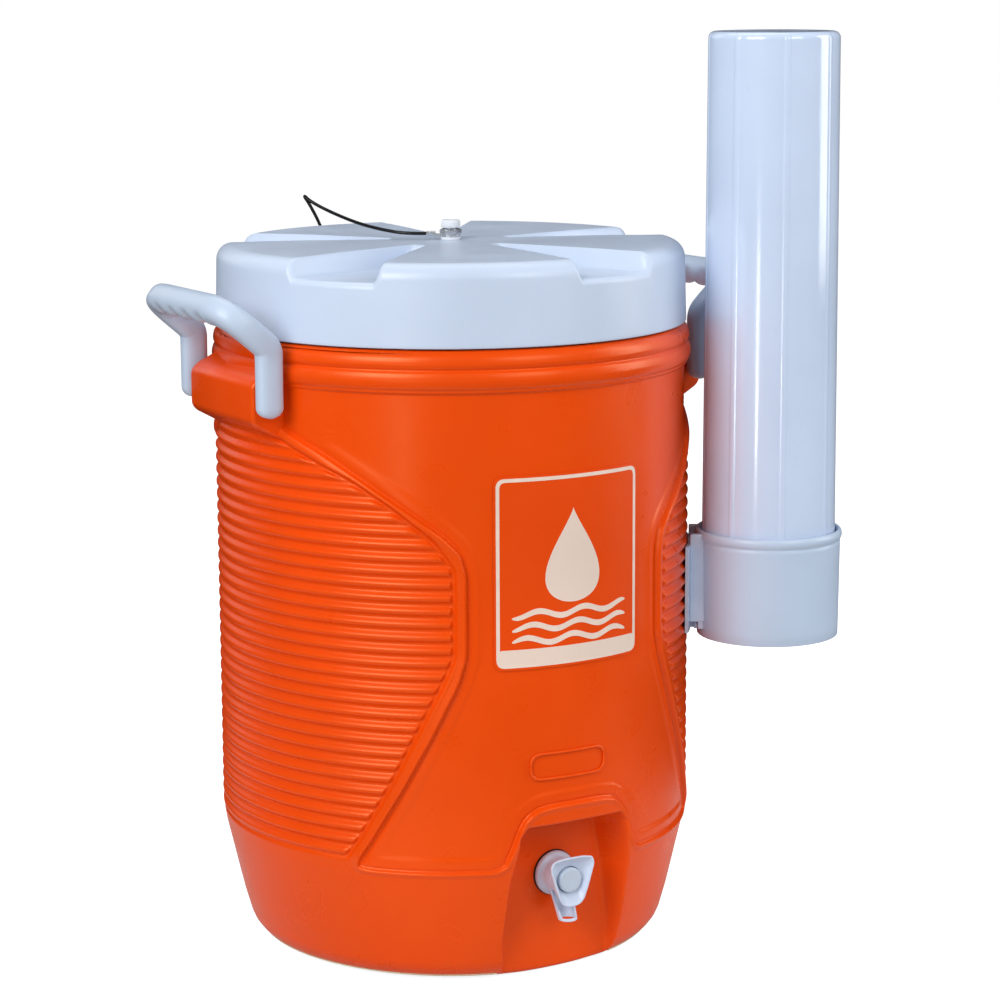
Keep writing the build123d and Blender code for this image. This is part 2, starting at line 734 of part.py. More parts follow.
def cup_collar():
    """The ring that holds the cup tube, with a rounded lip and a slotted boss at its back."""
    profile = [
        Line((47.2, COLLAR_BOTTOM_Z), (COLLAR_BOTTOM_R, COLLAR_BOTTOM_Z)),
        Line((COLLAR_BOTTOM_R, COLLAR_BOTTOM_Z), (COLLAR_TOP_R, COLLAR_TOP_Z - 5)),
        ThreePointArc(
            (COLLAR_TOP_R, COLLAR_TOP_Z - 5),
            (COLLAR_TOP_R + 1.2, COLLAR_TOP_Z - 1.5),
            (COLLAR_TOP_R - 1.0, COLLAR_TOP_Z + 1),
        ),
        Line((48.4, COLLAR_TOP_Z + 1), (47.2, COLLAR_TOP_Z)),
        Line((47.2, COLLAR_TOP_Z), (47.2, COLLAR_BOTTOM_Z)),
    ]
    ring = Pos(CUP_X, CUP_Y, 0) * turned_curve(profile)
    shelf = tube(48, 38.5, COLLAR_BOTTOM_Z, COLLAR_BOTTOM_Z + 2.5, CUP_X, CUP_Y)
    boss = Pos(0, -171.0, sum(BOSS_Z) / 2) * Box(40, 12.0, BOSS_Z[1] - BOSS_Z[0])
    slot_middle = PLATE_Z[1] + 0.2 - SLOT_LENGTH / 2
    slot = Pos(0, -PLATE_OUTER_R - 2.95, slot_middle) * Box(RAIL_HEAD + 2 * RAIL_GAP, 2.3, SLOT_LENGTH)
    mouth = Pos(0, -PLATE_OUTER_R + 1.2, slot_middle) * Box(RAIL_NECK + 2 * RAIL_GAP, 6.6, SLOT_LENGTH)
    web = on_cup_side(boss) - upright(48, 200, 300, CUP_X, CUP_Y)
    return ring + shelf + web - on_cup_side(slot + mouth)


def collar_diaphragm():
    """The soft slotted disc at the bottom of the collar that holds the lowest cup by its rim."""
    z0 = COLLAR_BOTTOM_Z + 2.5
    disc = tube(46.6, 31, z0, z0 + 1.2, CUP_X, CUP_Y)
    for k in range(8):
        slit = Rot(0, 0, 45 * k) * Pos(37, 0, z0 + 0.6) * Box(11, 0.8, 3)
        disc -= Pos(CUP_X, CUP_Y, 0) * slit
    return disc


def cup_tube():
    """The closed plastic tube that the cups stack in. It lifts out of the collar for filling."""
    edge = 5.0
    wall = CUP_TUBE_WALL
    outer = turned_curve(
        [
            Line((0, CUP_TUBE_BOTTOM_Z), (CUP_TUBE_BOTTOM_R, CUP_TUBE_BOTTOM_Z)),
            Line((CUP_TUBE_BOTTOM_R, CUP_TUBE_BOTTOM_Z), (CUP_TUBE_TOP_R, CUP_TUBE_TOP_Z - edge)),
            ThreePointArc(
                (CUP_TUBE_TOP_R, CUP_TUBE_TOP_Z - edge),
                (CUP_TUBE_TOP_R - 0.293 * edge, CUP_TUBE_TOP_Z - 0.293 * edge),
                (CUP_TUBE_TOP_R - edge, CUP_TUBE_TOP_Z),
            ),
            Line((CUP_TUBE_TOP_R - edge, CUP_TUBE_TOP_Z), (0, CUP_TUBE_TOP_Z)),
            Line((0, CUP_TUBE_TOP_Z), (0, CUP_TUBE_BOTTOM_Z)),
        ]
    )
    inner = turned(
        [
            (0, CUP_TUBE_BOTTOM_Z - 1),
            (CUP_TUBE_BOTTOM_R - wall, CUP_TUBE_BOTTOM_Z - 1),
            (CUP_TUBE_TOP_R - wall, CUP_TUBE_TOP_Z - edge),
            (CUP_TUBE_TOP_R - edge, CUP_TUBE_TOP_Z - wall),
            (0, CUP_TUBE_TOP_Z - wall),
        ]
    )
    return Pos(CUP_X, CUP_Y, 0) * (outer - inner)


# ---------------------------------------------------------------- write every piece
PARTS = {
    "outer_shell": outer_shell,
    "base_plug": base_plug,
    "inner_tank": inner_tank,
    "wall_foam": wall_foam,
    "front_label": front_label,
    "tap_gasket": tap_gasket,
    "tap_body": tap_body,
    "tap_inner_seal": tap_inner_seal,
    "tap_nut": tap_nut,
    "tap_retainer": tap_retainer,
    "tap_spring": tap_spring,
    "tap_button": tap_button,
    "tap_stem": tap_stem,
    "tap_valve": tap_valve,
    "left_handle": lambda: handle(-1),
    "right_handle": lambda: handle(1),
    "lid_shell": lid_shell,
    "lid_foam": lid_foam,
    "lid_liner": lid_liner,
    "lid_gasket": lid_gasket,
    "lid_stud": lid_stud,
    "lid_washer": lid_washer,
    "lid_nut": lid_nut,
    "lid_under_nut": lid_under_nut,
    "lid_knob": lid_knob,
    "swivel_ring": swivel_ring,
    "front_crimp": front_crimp,
    "tether_cable": tether_cable,
    "back_crimp": back_crimp,
    "anchor_pad": anchor_pad,
    "anchor_screw": anchor_screw,
    "wall_plate": wall_plate,
    "wall_plate_screws": wall_plate_screws,
    "cup_collar": cup_collar,
    "collar_diaphragm": collar_diaphragm,
    "cup_tube": cup_tube,
}

os.makedirs("parts", exist_ok=True)
for name, make in PARTS.items():
    export_step(make(), f"parts/{name}.step")
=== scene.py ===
"""The looks of an insulated beverage dispenser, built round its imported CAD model."""

import math

import bpy
import numpy as np
from mathutils import Matrix, Vector


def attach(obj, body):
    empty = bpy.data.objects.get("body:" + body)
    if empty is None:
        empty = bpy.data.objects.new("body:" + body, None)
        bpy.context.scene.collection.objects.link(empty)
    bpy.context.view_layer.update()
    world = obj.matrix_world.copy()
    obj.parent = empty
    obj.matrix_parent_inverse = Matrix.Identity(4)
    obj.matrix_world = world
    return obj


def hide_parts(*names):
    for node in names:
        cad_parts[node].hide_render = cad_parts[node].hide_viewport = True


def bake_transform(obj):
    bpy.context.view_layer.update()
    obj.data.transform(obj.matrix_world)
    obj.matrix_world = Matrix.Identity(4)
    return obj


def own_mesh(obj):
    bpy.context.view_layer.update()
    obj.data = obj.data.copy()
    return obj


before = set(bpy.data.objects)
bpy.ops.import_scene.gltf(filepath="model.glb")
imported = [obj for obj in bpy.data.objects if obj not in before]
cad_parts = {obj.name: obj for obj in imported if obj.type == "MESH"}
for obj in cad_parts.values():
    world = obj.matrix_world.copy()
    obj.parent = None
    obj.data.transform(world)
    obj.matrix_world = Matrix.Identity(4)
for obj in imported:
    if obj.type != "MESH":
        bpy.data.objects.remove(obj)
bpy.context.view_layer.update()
MM = 0.001

# ---------------------------------------------------------------- camera
CAMERA_AT = (-0.9852, -1.7028, 0.667)
CAMERA_RIGHT = Vector((0.857, -0.515, 0.0)).normalized()
CAMERA_AHEAD = Vector((0.515, 0.857, 0.0)).normalized()
CAMERA_PITCH = math.radians(10.6)
CAMERA_ROLL = math.radians(-0.26)


def make_camera():
    up_axis = Vector((0, 0, 1))
    forward = CAMERA_AHEAD * math.cos(CAMERA_PITCH) - up_axis * math.sin(CAMERA_PITCH)
    up = CAMERA_AHEAD * math.sin(CAMERA_PITCH) + up_axis * math.cos(CAMERA_PITCH)
    side = CAMERA_RIGHT * math.cos(CAMERA_ROLL) + up * math.sin(CAMERA_ROLL)
    top = up * math.cos(CAMERA_ROLL) - CAMERA_RIGHT * math.sin(CAMERA_ROLL)
    data = bpy.data.cameras.new("main_camera")
    data.lens = 104.4
    data.sensor_width = 36.0
    data.clip_end = 200.0
    camera = bpy.data.objects.new("main_camera", data)
    bpy.context.scene.collection.objects.link(camera)
    turn = Matrix((side, top, -forward)).transposed().to_4x4()
    camera.matrix_world = Matrix.Translation(CAMERA_AT) @ turn
    bpy.context.scene.camera = camera


make_camera()


# ---------------------------------------------------------------- node materials
class Nodes:
    """A short way to write a node tree."""

    def __init__(self, name):
        self.material = bpy.data.materials.new(name)
        self.material.use_nodes = True
        self.tree = self.material.node_tree
        self.shader = self.tree.nodes["Principled BSDF"]
        self.place = self.add("ShaderNodeTexCoord").outputs["Object"]

    def add(self, kind, **settings):
        node = self.tree.nodes.new(kind)
        for key, value in settings.items():
            setattr(node, key, value)
        return node

    def link(self, source, target):
        self.tree.links.new(source, target)

    def noise(self, scale, detail=2.0, roughness=0.5, stretch=None):
        node = self.add("ShaderNodeTexNoise")
        node.inputs["Scale"].default_value = scale
        node.inputs["Detail"].default_value = detail
        node.inputs["Roughness"].default_value = roughness
        where = self.place
        if stretch:
            mapping = self.add("ShaderNodeMapping")
            mapping.inputs["Scale"].default_value = stretch
            self.link(self.place, mapping.inputs["Vector"])
            where = mapping.outputs["Vector"]
        self.link(where, node.inputs["Vector"])
        return node.outputs["Fac"]

    def between(self, value, low, high, out_low=0.0, out_high=1.0):
        node = self.add("ShaderNodeMapRange")
        node.inputs["From Min"].default_value = low
        node.inputs["From Max"].default_value = high
        node.inputs["To Min"].default_value = out_low
        node.inputs["To Max"].default_value = out_high
        self.link(value, node.inputs["Value"])
        return node.outputs["Result"]

    def maths(self, operation, a, b):
        node = self.add("ShaderNodeMath", operation=operation)
        for slot, value in enumerate((a, b)):
            if isinstance(value, (int, float)):
                node.inputs[slot].default_value = value
            else:
                self.link(value, node.inputs[slot])
        return node.outputs[0]

    def blend(self, share, a, b):
        node = self.add("ShaderNodeMix", data_type="RGBA")
        if isinstance(share, (int, float)):
            node.inputs["Factor"].default_value = share
        else:
            self.link(share, node.inputs["Factor"])
        for socket, value in ((node.inputs[6], a), (node.inputs[7], b)):
            if isinstance(value, tuple):
                socket.default_value = (*value, 1.0)
            else:
                self.link(value, socket)
        return node.outputs[2]

    def bump(self, height, distance, strength, below=None):
        node = self.add("ShaderNodeBump")
        node.inputs["Strength"].default_value = strength
        node.inputs["Distance"].default_value = distance
        self.link(height, node.inputs["Height"])
        if below is not None:
            self.link(below, node.inputs["Normal"])
        return node.outputs["Normal"]

    def set(self, **sockets):
        for key, value in sockets.items():
            self.shader.inputs[key.replace("_", " ")].default_value = value


def linear(red, green, blue):
    """A linear colour from an sRGB one in 0 to 255."""
    out = []
    for value in (red, green, blue):
        c = value / 255
        out.append(c / 12.92 if c <= 0.04045 else ((c + 0.055) / 1.055) ** 2.4)
    return tuple(out)


def shade(colour, factor):
    return tuple(min(1.0, c * factor) for c in colour)


WHITE = (1.0, 1.0, 1.0)


def plastic(name, colour, gloss, grain=0.035, wave=0.25, worn=None, scuff=0.04, through=0.0, shine=0.5,
            tint=WHITE):
    """Moulded plastic: a faint grain, slow waves of the mould, soft scuffs, and rubbed edges."""
    n = Nodes(name)
    cloud = n.between(n.noise(9.0, 3.0), 0.35, 0.65)
    mottled = n.blend(cloud, shade(colour, 0.955), shade(colour, 1.03))
    fleck = n.between(n.noise(420.0, 1.0), 0.62, 0.75)
    mottled = n.blend(n.maths("MULTIPLY", fleck, 0.10), mottled, shade(colour, 0.8))
    scratches = n.between(n.noise(60.0, 4.0, 0.7, stretch=(1.0, 1.0, 14.0)), 0.64, 0.78)
    patch = n.between(n.noise(16.0, 2.0), 0.5, 0.68)
    scratches = n.maths("MULTIPLY", scratches, patch)
    edge = n.between(n.add("ShaderNodeNewGeometry").outputs["Pointiness"], 0.53, 0.6)
    edge = n.maths("MULTIPLY", edge, n.between(n.noise(150.0, 3.0), 0.42, 0.62))
    rubbed = worn or shade(colour, 1.18)
    mottled = n.blend(n.maths("MULTIPLY", edge, 0.3), mottled, rubbed)
    mottled = n.blend(n.maths("MULTIPLY", scratches, scuff), mottled, rubbed)
    n.link(mottled, n.shader.inputs["Base Color"])
    rough = n.between(n.noise(38.0, 3.0), 0.3, 0.7, gloss - 0.04, gloss + 0.05)
    rough = n.maths("ADD", rough, n.maths("MULTIPLY", scratches, scuff))
    n.link(rough, n.shader.inputs["Roughness"])
    slow = n.bump(n.noise(24.0, 1.0), 0.0003, wave)
    fine = n.bump(n.noise(1500.0, 2.0), 0.00012, grain * 6, slow)
    n.link(fine, n.shader.inputs["Normal"])
    n.set(IOR=1.49, Specular_IOR_Level=shine)
    n.shader.inputs["Specular Tint"].default_value = (*tint, 1.0)
    if through:
        n.set(Subsurface_Weight=through, Subsurface_Scale=0.004)
        n.shader.inputs["Subsurface Radius"].default_value = (1.0, 0.8, 0.7)
    return n.material


def metal(name, colour, gloss, along=(1.0, 1.0, 1.0), streak=0.3):
    """Plated steel with fine drawing lines and a few dull spots."""
    n = Nodes(name)
    lines = n.noise(900.0, 2.0, 0.6, stretch=along)
    spots = n.between(n.noise(180.0, 3.0), 0.55, 0.72)
    tint = n.blend(n.maths("MULTIPLY", spots, 0.2), colour, shade(colour, 0.6))
    n.link(tint, n.shader.inputs["Base Color"])
    rough = n.between(lines, 0.3, 0.7, gloss, gloss + 0.12)
    n.link(n.maths("ADD", rough, n.maths("MULTIPLY", spots, 0.15)), n.shader.inputs["Roughness"])
    n.link(n.bump(lines, 0.00005, streak), n.shader.inputs["Normal"])
    n.set(Metallic=0.75)
    return n.material


def rubber(name, colour, gloss):
    """Dull rubber with a little dust on it."""
    n = Nodes(name)
    dust = n.between(n.noise(70.0, 4.0), 0.5, 0.75)
    dusty = n.blend(n.maths("MULTIPLY", dust, 0.35), colour, shade(colour, 1.6))
    n.link(dusty, n.shader.inputs["Base Color"])
    n.link(n.between(n.noise(300.0, 2.0), 0.3, 0.7, gloss - 0.06, gloss + 0.08), n.shader.inputs["Roughness"])
    n.link(n.bump(n.noise(1800.0, 3.0), 0.0001, 0.35), n.shader.inputs["Normal"])
    n.set(Specular_IOR_Level=0.35)
    return n.material


def foam(name, colour):
    """Rigid foam: closed cells of about a millimetre."""
    n = Nodes(name)
    cells = n.add("ShaderNodeTexVoronoi", feature="DISTANCE_TO_EDGE")
    cells.inputs["Scale"].default_value = 700.0
    n.link(n.place, cells.inputs["Vector"])
    walls = n.between(cells.outputs["Distance"], 0.0, 0.18)
    n.link(n.blend(walls, shade(colour, 0.8), colour), n.shader.inputs["Base Color"])
    n.link(n.bump(walls, 0.0004, 0.6), n.shader.inputs["Normal"])
    n.set(Roughness=0.85)
    return n.material


WARM = (1.0, 0.72, 0.36)
ORANGE = linear(236, 74, 3)
M = {
    "orange": plastic("orange_plastic", ORANGE, 0.30, worn=linear(255, 112, 46), shine=0.55, tint=WARM),
    "lid": plastic("lid_plastic", linear(199, 213, 234), 0.33, through=0.06),
    "handle": plastic("handle_plastic", linear(190, 205, 225), 0.34, through=0.08),
    "tap": plastic("tap_plastic", linear(203, 215, 235), 0.33, through=0.06),
    "button": plastic("button_plastic", linear(190, 203, 219), 0.30, through=0.05),
    "tube": plastic("dispenser_plastic", linear(207, 223, 248), 0.13, grain=0.01, wave=0.02, scuff=0.012,
                    through=0.05, shine=1.0),
    "collar": plastic("collar_plastic", linear(189, 206, 228), 0.34, wave=0.15, through=0.05),
    "tank": plastic("tank_plastic", linear(226, 230, 236), 0.42, through=0.08),
    "knob": plastic("knob_plastic", linear(224, 228, 234), 0.38, through=0.06),
    "cream": plastic("label_cream", linear(233, 212, 197), 0.42, grain=0.02, wave=0.05, scuff=0.08),
    "film": plastic("label_film", linear(234, 72, 6), 0.34, grain=0.015, wave=0.05, tint=WARM),
    "steel": metal("plated_steel", linear(206, 209, 214), 0.16, along=(1.0, 1.0, 6.0)),
    "spring": metal("spring_steel", linear(168, 170, 176), 0.24),
    "black_rubber": rubber("black_rubber", linear(32, 32, 34), 0.6),
    "white_rubber": rubber("white_rubber", linear(224, 228, 234), 0.6),
    "jacket": rubber("cable_jacket", linear(20, 20, 22), 0.32),
    "foam": foam("insulating_foam", linear(236, 226, 190)),
}


# ---------------------------------------------------------------- mesh helpers
def soft(t):
    """Smoothstep of a number or an array."""
    t = np.clip(t, 0.0, 1.0)
    return t * t * (3 - 2 * t)


def smooth_max(a, b, k):
    h = np.clip(k - np.abs(a - b), 0.0, None) / k
    return np.maximum(a, b) + h * h * k / 4


def smooth_min(a, b, k):
    return -smooth_max(-a, -b, k)


def rounded(points, radius, closed=True, steps=5):
    """A line of points with each corner turned into a small curve."""
    pts = [np.array(p, float) for p in points]
    count = len(pts)
    radii = radius if isinstance(radius, (list, tuple)) else [radius] * count
    out = []
    for i, corner in enumerate(pts):
        if radii[i] == 0 or (not closed and i in (0, count - 1)):
            out.append(corner)
            continue
        before, after = pts[i - 1] - corner, pts[(i + 1) % count] - corner
        reach = min(radii[i], 0.48 * np.linalg.norm(before), 0.48 * np.linalg.norm(after))
        a = corner + before / np.linalg.norm(before) * reach
        b = corner + after / np.linalg.norm(after) * reach
        for t in np.linspace(0, 1, steps + 1):
            out.append((1 - t) ** 2 * a + 2 * t * (1 - t) * corner + t * t * b)
    return np.array(out)


def evenly(points, step, closed=False):
    """Points a near-equal step apart along a line of points."""
    pts = np.array(points, float)
    if closed:
        pts = np.vstack([pts, pts[:1]])
    at = np.concatenate([[0], np.cumsum(np.linalg.norm(np.diff(pts, axis=0), axis=1))])
    count = max(2, int(round(at[-1] / step)) + 1)
    s = np.linspace(0, at[-1], count)
    out = np.stack([np.interp(s, at, pts[:, k]) for k in range(pts.shape[1])], axis=1)
    return out[:-1] if closed else out


def build(name, points, quads, caps=(), sharp=38.0):
    """A mesh object from points in millimetres, with its faces turned outwards."""
    tri = np.vstack([quads[:, [0, 1, 2]], quads[:, [0, 2, 3]]])
    a, b, c = (points[tri[:, k]] for k in range(3))
    if np.einsum("ij,ij->i", a, np.cross(b, c)).sum() < 0:
        quads = quads[:, ::-1]
        caps = [cap[::-1] for cap in caps]
    mesh = bpy.data.meshes.new(name)
    mesh.vertices.add(len(points))
    mesh.vertices.foreach_set("co", (points * MM).astype(np.float32).ravel())
    loops = np.concatenate([quads.ravel(), *[np.array(cap) for cap in caps]])
    sizes = np.array([4] * len(quads) + [len(cap) for cap in caps])
    mesh.loops.add(len(loops))
    mesh.loops.foreach_set("vertex_index", loops.astype(np.int32))
    mesh.polygons.add(len(sizes))
    mesh.polygons.foreach_set("loop_start", (np.cumsum(sizes) - sizes).astype(np.int32))
    mesh.update(calc_edges=True)
    mesh.validate()
    mesh.polygons.foreach_set("use_smooth", np.ones(len(mesh.polygons), bool))
    if sharp:
        mesh.set_sharp_from_angle(angle=math.radians(sharp))
    obj = bpy.data.objects.new(name, mesh)
    bpy.context.scene.collection.objects.link(obj)
    return obj


def rings(name, rows, join=False, sharp=38.0):
    """A closed skin over rings of points: joined end to end, or capped at both ends."""
    rows = np.asarray(rows, float)
    count, width = rows.shape[:2]
    i = np.arange(count if join else count - 1)[:, None]
    j = np.arange(width)[None, :]
    nxt, right = (i + 1) % count, (j + 1) % width
    quads = np.stack([i * width + j, i * width + right, nxt * width + right, nxt * width + j], axis=-1)
    caps = []
    if not join:
        caps = [list(range(width))[::-1], [(count - 1) * width + k for k in range(width)]]
    return build(name, rows.reshape(-1, 3), quads.reshape(-1, 4), caps, sharp)


def ring_at(radius, angle, z, centre=(0.0, 0.0)):
    """Points round an upright axis, at angles in radians from the front towards +X."""
    x, y = centre[0] + radius * np.sin(angle), centre[1] - radius * np.cos(angle)
    return np.stack([x, y, z + np.zeros(x.shape)], axis=-1)


def whole_turn(count):
    """Evenly spaced angles round a full turn."""
    return np.linspace(0, 2 * math.pi, count, endpoint=False)


def lathe(name, profile, centre=(0, 0), around=96, join=True, sharp=38.0):
    """A turned piece from (radius, z) points."""
    angle = whole_turn(around)
    rows = [ring_at(r, angle, z, centre) for r, z in profile]
    return rings(name, rows, join, sharp)


def lathe_y(name, profile, x, z, around=64, join=False, sharp=38.0):
    """A piece turned about an axis along Y, from (radius, y) points."""
    a = whole_turn(around)
    rows = [np.stack([x + r * np.sin(a), y + 0 * a, z + r * np.cos(a)], axis=-1) for r, y in profile]
    return rings(name, rows, join, sharp)


def tube_along(name, path, radius, sides=14, strands=0, twist=0.0):
    """A tube in millimetres round a fine path, with its section carried along without twisting."""
    path = np.asarray(path, float)
    ahead = np.gradient(path, axis=0)
    ahead /= np.linalg.norm(ahead, axis=1)[:, None]
    normal = np.cross(ahead[0], (0, 0, 1.0))
    normal /= np.linalg.norm(normal)
    gone = np.concatenate([[0], np.cumsum(np.linalg.norm(np.diff(path, axis=0), axis=1))])
    angle = whole_turn(sides)
    rows = []
    for i, point in enumerate(path):
        normal = normal - ahead[i] * normal.dot(ahead[i])
        normal /= np.linalg.norm(normal)
        other = np.cross(ahead[i], normal)
        r = radius
        if strands:
            r = radius * (1 - 0.05 + 0.05 * np.cos(strands * (angle - twist * gone[i])))
        section = np.cos(angle)[:, None] * normal + np.sin(angle)[:, None] * other
        rows.append(point + section * np.reshape(r * np.ones(sides), (sides, 1)))
    return rings(name, rows, sharp=None if strands else 38.0)


def finish_piece(obj, material, body, slot_name, *stands_for):
    obj.data.materials.append(M[material])
    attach(obj, body)
    if stands_for:
        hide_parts(*stands_for)
    return obj


# ---------------------------------------------------------------- the tether
TETHER_ROUTE = [
    (-0.0148, 0.0077, 0.4832),
    (-0.0272, 0.01415, 0.4832),
    (-0.036, 0.0285, 0.485),
    (-0.043, 0.045, 0.4876),
    (-0.048, 0.0625, 0.4912),
    (-0.0515, 0.086, 0.496),
    (-0.050, 0.111, 0.500),
    (-0.042, 0.134, 0.5015),
    (-0.032, 0.1525, 0.4985),
    (-0.020, 0.167, 0.4905),
    (-0.009, 0.1735, 0.476),
    (-0.003, 0.1715, 0.456),
    (0.0, 0.1666, 0.438),
    (0.0, 0.1666, 0.420),
]


def route_points(route, per_span):
    """Points in metres read from the NURBS spline that has the route as its control points."""
    curve = bpy.data.curves.new("route", "CURVE")
    curve.dimensions = "3D"
    curve.resolution_u = per_span
    spline = curve.splines.new("NURBS")
    spline.points.add(len(route) - 1)
    for point, place in zip(spline.points, route):
        point.co = (*place, 1.0)
    spline.order_u = 3
    spline.use_endpoint_u = True
    holder = bpy.data.objects.new("route", curve)
    bpy.context.scene.collection.objects.link(holder)
    bpy.context.view_layer.update()
    read = bpy.data.meshes.new_from_object(holder)
    points = [tuple(v.co) for v in read.vertices]
    bpy.data.objects.remove(holder)
    bpy.data.meshes.remove(read)
    return points


TETHER_DIAMETER = 0.0024


def sleeve(name, start, along, length, radius, flat):
    """A crimped metal sleeve with two pressed-in bands."""
    s = np.linspace(0, length, 40)
    edge = np.minimum(s, length - s)
    pressed = np.exp(-((s - 0.3 * length) / 0.7) ** 2) + np.exp(-((s - 0.7 * length) / 0.7) ** 2)
    size = radius * (1 - 0.12 * pressed) * np.sqrt(np.clip(edge / 0.5, 0.55, 1.0))
    along = np.array(along, float) / np.linalg.norm(along)
    side = np.cross(along, flat)
    side /= np.linalg.norm(side)
    up = np.cross(side, along)
    angle = whole_turn(32)
    rows = []
    for k, distance in enumerate(s):
        wide = 1 + 0.08 * pressed[k]
        ring = np.cos(angle)[:, None] * side * size[k] * wide + np.sin(angle)[:, None] * up * size[k] * 0.9
        rows.append(np.array(start, float) + along * distance + ring)
    return rings(name, rows)


def tether():
    path = route_points(TETHER_ROUTE, 24)
    fine = evenly(np.array(path) / MM, 0.45)
    cable = tube_along("tether_wire", fine, TETHER_DIAMETER / 2 / MM, 24, strands=6, twist=0.5)
    cable.data.materials.append(M["jacket"])
    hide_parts("tether_cable")
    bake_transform(cable)
    back = np.array(TETHER_ROUTE[0]) - np.array(TETHER_ROUTE[1])
    start = np.array(TETHER_ROUTE[0]) / MM
    front = sleeve("front_crimp_sleeve", start, back, 6.5, 1.95, (0, 0, 1.0))
    finish_piece(front, "steel", "tether_swivel", "plated_steel", "front_crimp")


tether()

# ---------------------------------------------------------------- the body's skin
BODY_R = 162.0
PANEL_R = 159.0
RIB_PITCH = 8.6
RIB_COUNT = 32
RIB_START_Z = 88.5
RIB_END_Z = RIB_START_Z + RIB_PITCH * RIB_COUNT
PANEL_TOP_Z = 396.0
LEDGE_Z = 421.0
TAP_FLOOR_Y = 130.0
DEG = math.pi / 180

# The base's side and the whole upright outline, as (z, radius).
BASE_LINE = [(0, 121), (0.3, 125), (1.1, 129.3), (2.5, 133.3), (4.6, 136.9), (7.4, 140.0), (10.8, 142.5)]
BASE_LINE += [(15, 144.3), (30, 148.5), (45, 152.0), (60, 155.4), (75, 158.9), (80, 160.0), (84, 160.6)]
BASE_LINE += [(90, 161.6), (95, 162.0), (396, 162.0)]
# Half outlines as (degrees from the front, z): where the panel ends, and where the ribs end.
PANEL_SIDE = [(53, 82.6), (53, 87), (49.5, 101.6), (41.8, 137.6), (34.8, 173.5), (28.7, 208.5), (26.9, 226)]
PANEL_SIDE += [(26.9, 280), (28.4, 295), (32.4, 306), (42.5, 325), (52.3, 342), (61.4, 356), (71.7, 367.6)]
PANEL_SIDE += [(75, 372), (75, 396)]
RIB_SIDE = [(58, 82), (56.5, 89), (52.8, 103.5), (44.6, 143), (38.2, 179), (32.3, 212), (30.2, 226)]
RIB_SIDE += [(30.2, 283), (34.4, 300), (43.9, 321), (53.8, 338), (73.7, 360), (78, 366), (79, 372), (79, 396)]
# The edge of the panel over the tap, in the same terms.
ARCH = [(19.6, 83), (18.4, 86), (16.8, 96), (14.8, 110), (13.8, 115), (12.3, 119.2), (10.3, 122.2)]
ARCH += [(7.5, 123.7), (4, 124.2), (0, 124.3)]
# Half widths of the tap's recess at the body's surface and at its floor, as (z, millimetres).
MOUTH = [(0, 52), (30, 52), (72, 47), (104, 39), (113, 31)]
FLOOR = [(0, 41), (30, 41), (70, 37), (97, 32), (104, 26), (113, 18)]
# The recess's ceiling slopes between these heights, from its floor out to CEILING_Y.
RECESS_TOP = (104.0, 110.5)
CEILING_Y = 159.0
RECESS_HALF_ANGLE = 22.5
RECESS_REACH_Z = 126.0
MOUTH_Y = 153.0
RIB_WAVE = 2.7
RIDGE_HEIGHT = 1.0
# The two beads under the lid, as (z, radius).
BEADS = [(396, 161.4), (398.3, 160.3), (400, 162.0), (402.5, 162.9), (405, 163.2), (407.5, 162.9)]
BEADS += [(410, 162.1), (411.6, 160.2), (413.0, 161.6), (415, 162.2), (417.5, 161.9), (419.6, 161.3)]
BEADS += [(421, 160.3)]


def table(points, x, key=1):
    """Linear look-up in a table of pairs, by z."""
    z = [p[key] for p in points]
    value = [p[1 - key] for p in points]
    return np.interp(x, z, value)


def eased(points, z, spread):
    """The same look-up with its corners rounded over a length."""
    offsets = np.linspace(-1, 1, 9) * spread
    return np.mean([table(points, z + o) for o in offsets], axis=0)


def line_distance(s, z, line):
    """Distance from each (s, z) to a line of points."""
    best = np.full(s.shape, 1e9)
    for (s0, z0), (s1, z1) in zip(line, line[1:]):
        ds, dz = s1 - s0, z1 - z0
        length = ds * ds + dz * dz
        if length < 1e-12:
            continue
        t = np.clip(((s - s0) * ds + (z - z0) * dz) / length, 0, 1)
        best = np.minimum(best, np.hypot(s - s0 - t * ds, z - z0 - t * dz))
    return best


def inside(s, z, polygon):
    """True where (s, z) is inside a closed polygon."""
    odd = np.zeros(s.shape, bool)
    for (s0, z0), (s1, z1) in zip(polygon, polygon[1:] + polygon[:1]):
        if z0 == z1:
            continue
        crosses = (z0 > z) != (z1 > z)
        odd ^= crosses & (s < (s1 - s0) * (z - z0) / (z1 - z0) + s0)
    return odd


def body_rows():
    """Heights of the skin's rows: close together at the tap's recess, and in step with the ribs."""
    base = np.concatenate([[p[0] for p in BASE_LINE[:8]], np.linspace(15, RIB_START_Z, 106)[1:-1]])
    fine = np.arange(12) / 12
    plain = np.arange(9) / 9
    ribs = [RIB_START_Z + RIB_PITCH * (k + (fine if k < 5 else plain)) for k in range(RIB_COUNT)]
    top = np.linspace(RIB_END_Z, PANEL_TOP_Z, 36)[:-1]
    beads = np.linspace(PANEL_TOP_Z, LEDGE_Z, 40)
    return np.concatenate([base, *ribs, top, beads])


